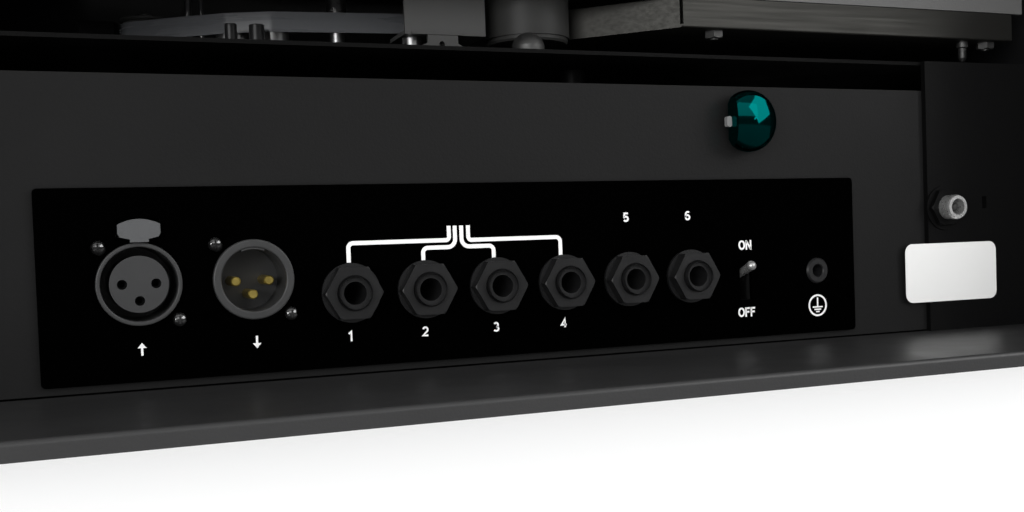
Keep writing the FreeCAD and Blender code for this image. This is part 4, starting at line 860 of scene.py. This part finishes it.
def add_lamp(name, place, aim, size, power, roll):
    """Rectangular area lamp; roll turns it about its own axis, in degrees."""
    data = bpy.data.lights.new(name, "AREA")
    data.shape = "RECTANGLE"
    data.size, data.size_y = size
    data.energy = power
    light = bpy.data.objects.new(name, data)
    facing = (Vector(aim) - Vector(place)).to_track_quat("-Z", "Y").to_matrix().to_4x4()
    light.matrix_world = (Matrix.Translation(place) @ facing
                          @ Matrix.Rotation(math.radians(roll), 4, "Z"))
    bpy.context.scene.collection.objects.link(light)


def ray_level(nodes, links, other, camera, gloss):
    """A level for camera and transmission rays, one for glossy rays and one for the others.
    The first and the last are numbers; the one for glossy rays may be a socket."""
    path = nodes.new("ShaderNodeLightPath")
    clear = nodes.new("ShaderNodeMath")
    clear.operation = "MAXIMUM"
    links.new(path.outputs["Is Camera Ray"], clear.inputs[0])
    links.new(path.outputs["Is Transmission Ray"], clear.inputs[1])
    in_gloss = nodes.new("ShaderNodeMix")
    links.new(path.outputs["Is Glossy Ray"], in_gloss.inputs["Factor"])
    in_gloss.inputs["A"].default_value = other
    if isinstance(gloss, float):
        in_gloss.inputs["B"].default_value = gloss
    else:
        links.new(gloss, in_gloss.inputs["B"])
    in_view = nodes.new("ShaderNodeMix")
    links.new(clear.outputs[0], in_view.inputs["Factor"])
    links.new(in_gloss.outputs["Result"], in_view.inputs["A"])
    in_view.inputs["B"].default_value = camera
    return in_view.outputs["Result"]


def make_floor():
    """Pale floor that glows a little, darker to glossy rays so that metal keeps its depth."""
    mesh = bpy.data.meshes.new("floor")
    corners = [(x * FLOOR_REACH, y * FLOOR_REACH, 0)
               for x, y in ((-1, -1), (1, -1), (1, 1), (-1, 1))]
    mesh.from_pydata(corners, [], [(0, 1, 2, 3)])
    floor = bpy.data.objects.new("floor", mesh)
    bpy.context.scene.collection.objects.link(floor)
    material = bpy.data.materials.new("pale_floor")
    material.use_nodes = True
    nodes, links = material.node_tree.nodes, material.node_tree.links
    bsdf = nodes["Principled BSDF"]
    path = nodes.new("ShaderNodeLightPath")
    tone = nodes.new("ShaderNodeMapRange")
    tone.inputs["To Min"].default_value = FLOOR_TONE
    tone.inputs["To Max"].default_value = FLOOR_TONE_IN_GLOSS
    links.new(path.outputs["Is Glossy Ray"], tone.inputs["Value"])
    links.new(tone.outputs["Result"], bsdf.inputs["Base Color"])
    bsdf.inputs["Roughness"].default_value = 0.9
    bsdf.inputs["Specular IOR Level"].default_value = 0.0
    bsdf.inputs["Emission Color"].default_value = (1, 1, 1, 1)
    links.new(ray_level(nodes, links, *FLOOR_GLOW), bsdf.inputs["Emission Strength"])
    mesh.materials.append(material)


def make_world():
    """Even white light; glossy rays see it brighten with height."""
    world = bpy.data.worlds.new("world")
    bpy.context.scene.world = world
    world.use_nodes = True
    nodes, links = world.node_tree.nodes, world.node_tree.links
    background = nodes["Background"]
    background.inputs["Color"].default_value = (1, 1, 1, 1)
    place = nodes.new("ShaderNodeTexCoord")
    split = nodes.new("ShaderNodeSeparateXYZ")
    links.new(place.outputs["Generated"], split.inputs["Vector"])
    height = nodes.new("ShaderNodeMapRange")
    height.inputs["From Min"].default_value = 0.1
    height.inputs["From Max"].default_value = 0.9
    height.inputs["To Min"].default_value = WORLD_IN_GLOSS[0]
    height.inputs["To Max"].default_value = WORLD_IN_GLOSS[1]
    links.new(split.outputs["Z"], height.inputs["Value"])
    level = ray_level(nodes, links, WORLD_LEVEL, WORLD_BEHIND, height.outputs["Result"])
    links.new(level, background.inputs["Strength"])


def make_stage():
    make_camera()
    make_floor()
    make_world()
    for lamp in LAMPS:
        add_lamp(*lamp)
    bpy.context.scene.view_settings.view_transform = "Standard"


# ---------------------------------------------------------------- all of it
dress_nodes()
jack_numbers()
way_arrows()
earth_symbol()
routing_lines()
rating_label()
jack_threads()
input_contacts()
inlet_details()
foot_seam()
post_sleeves()
rear_knob_mark()
front_prints()
knob_marks()
meter_dial()
case_screws()
make_stage()
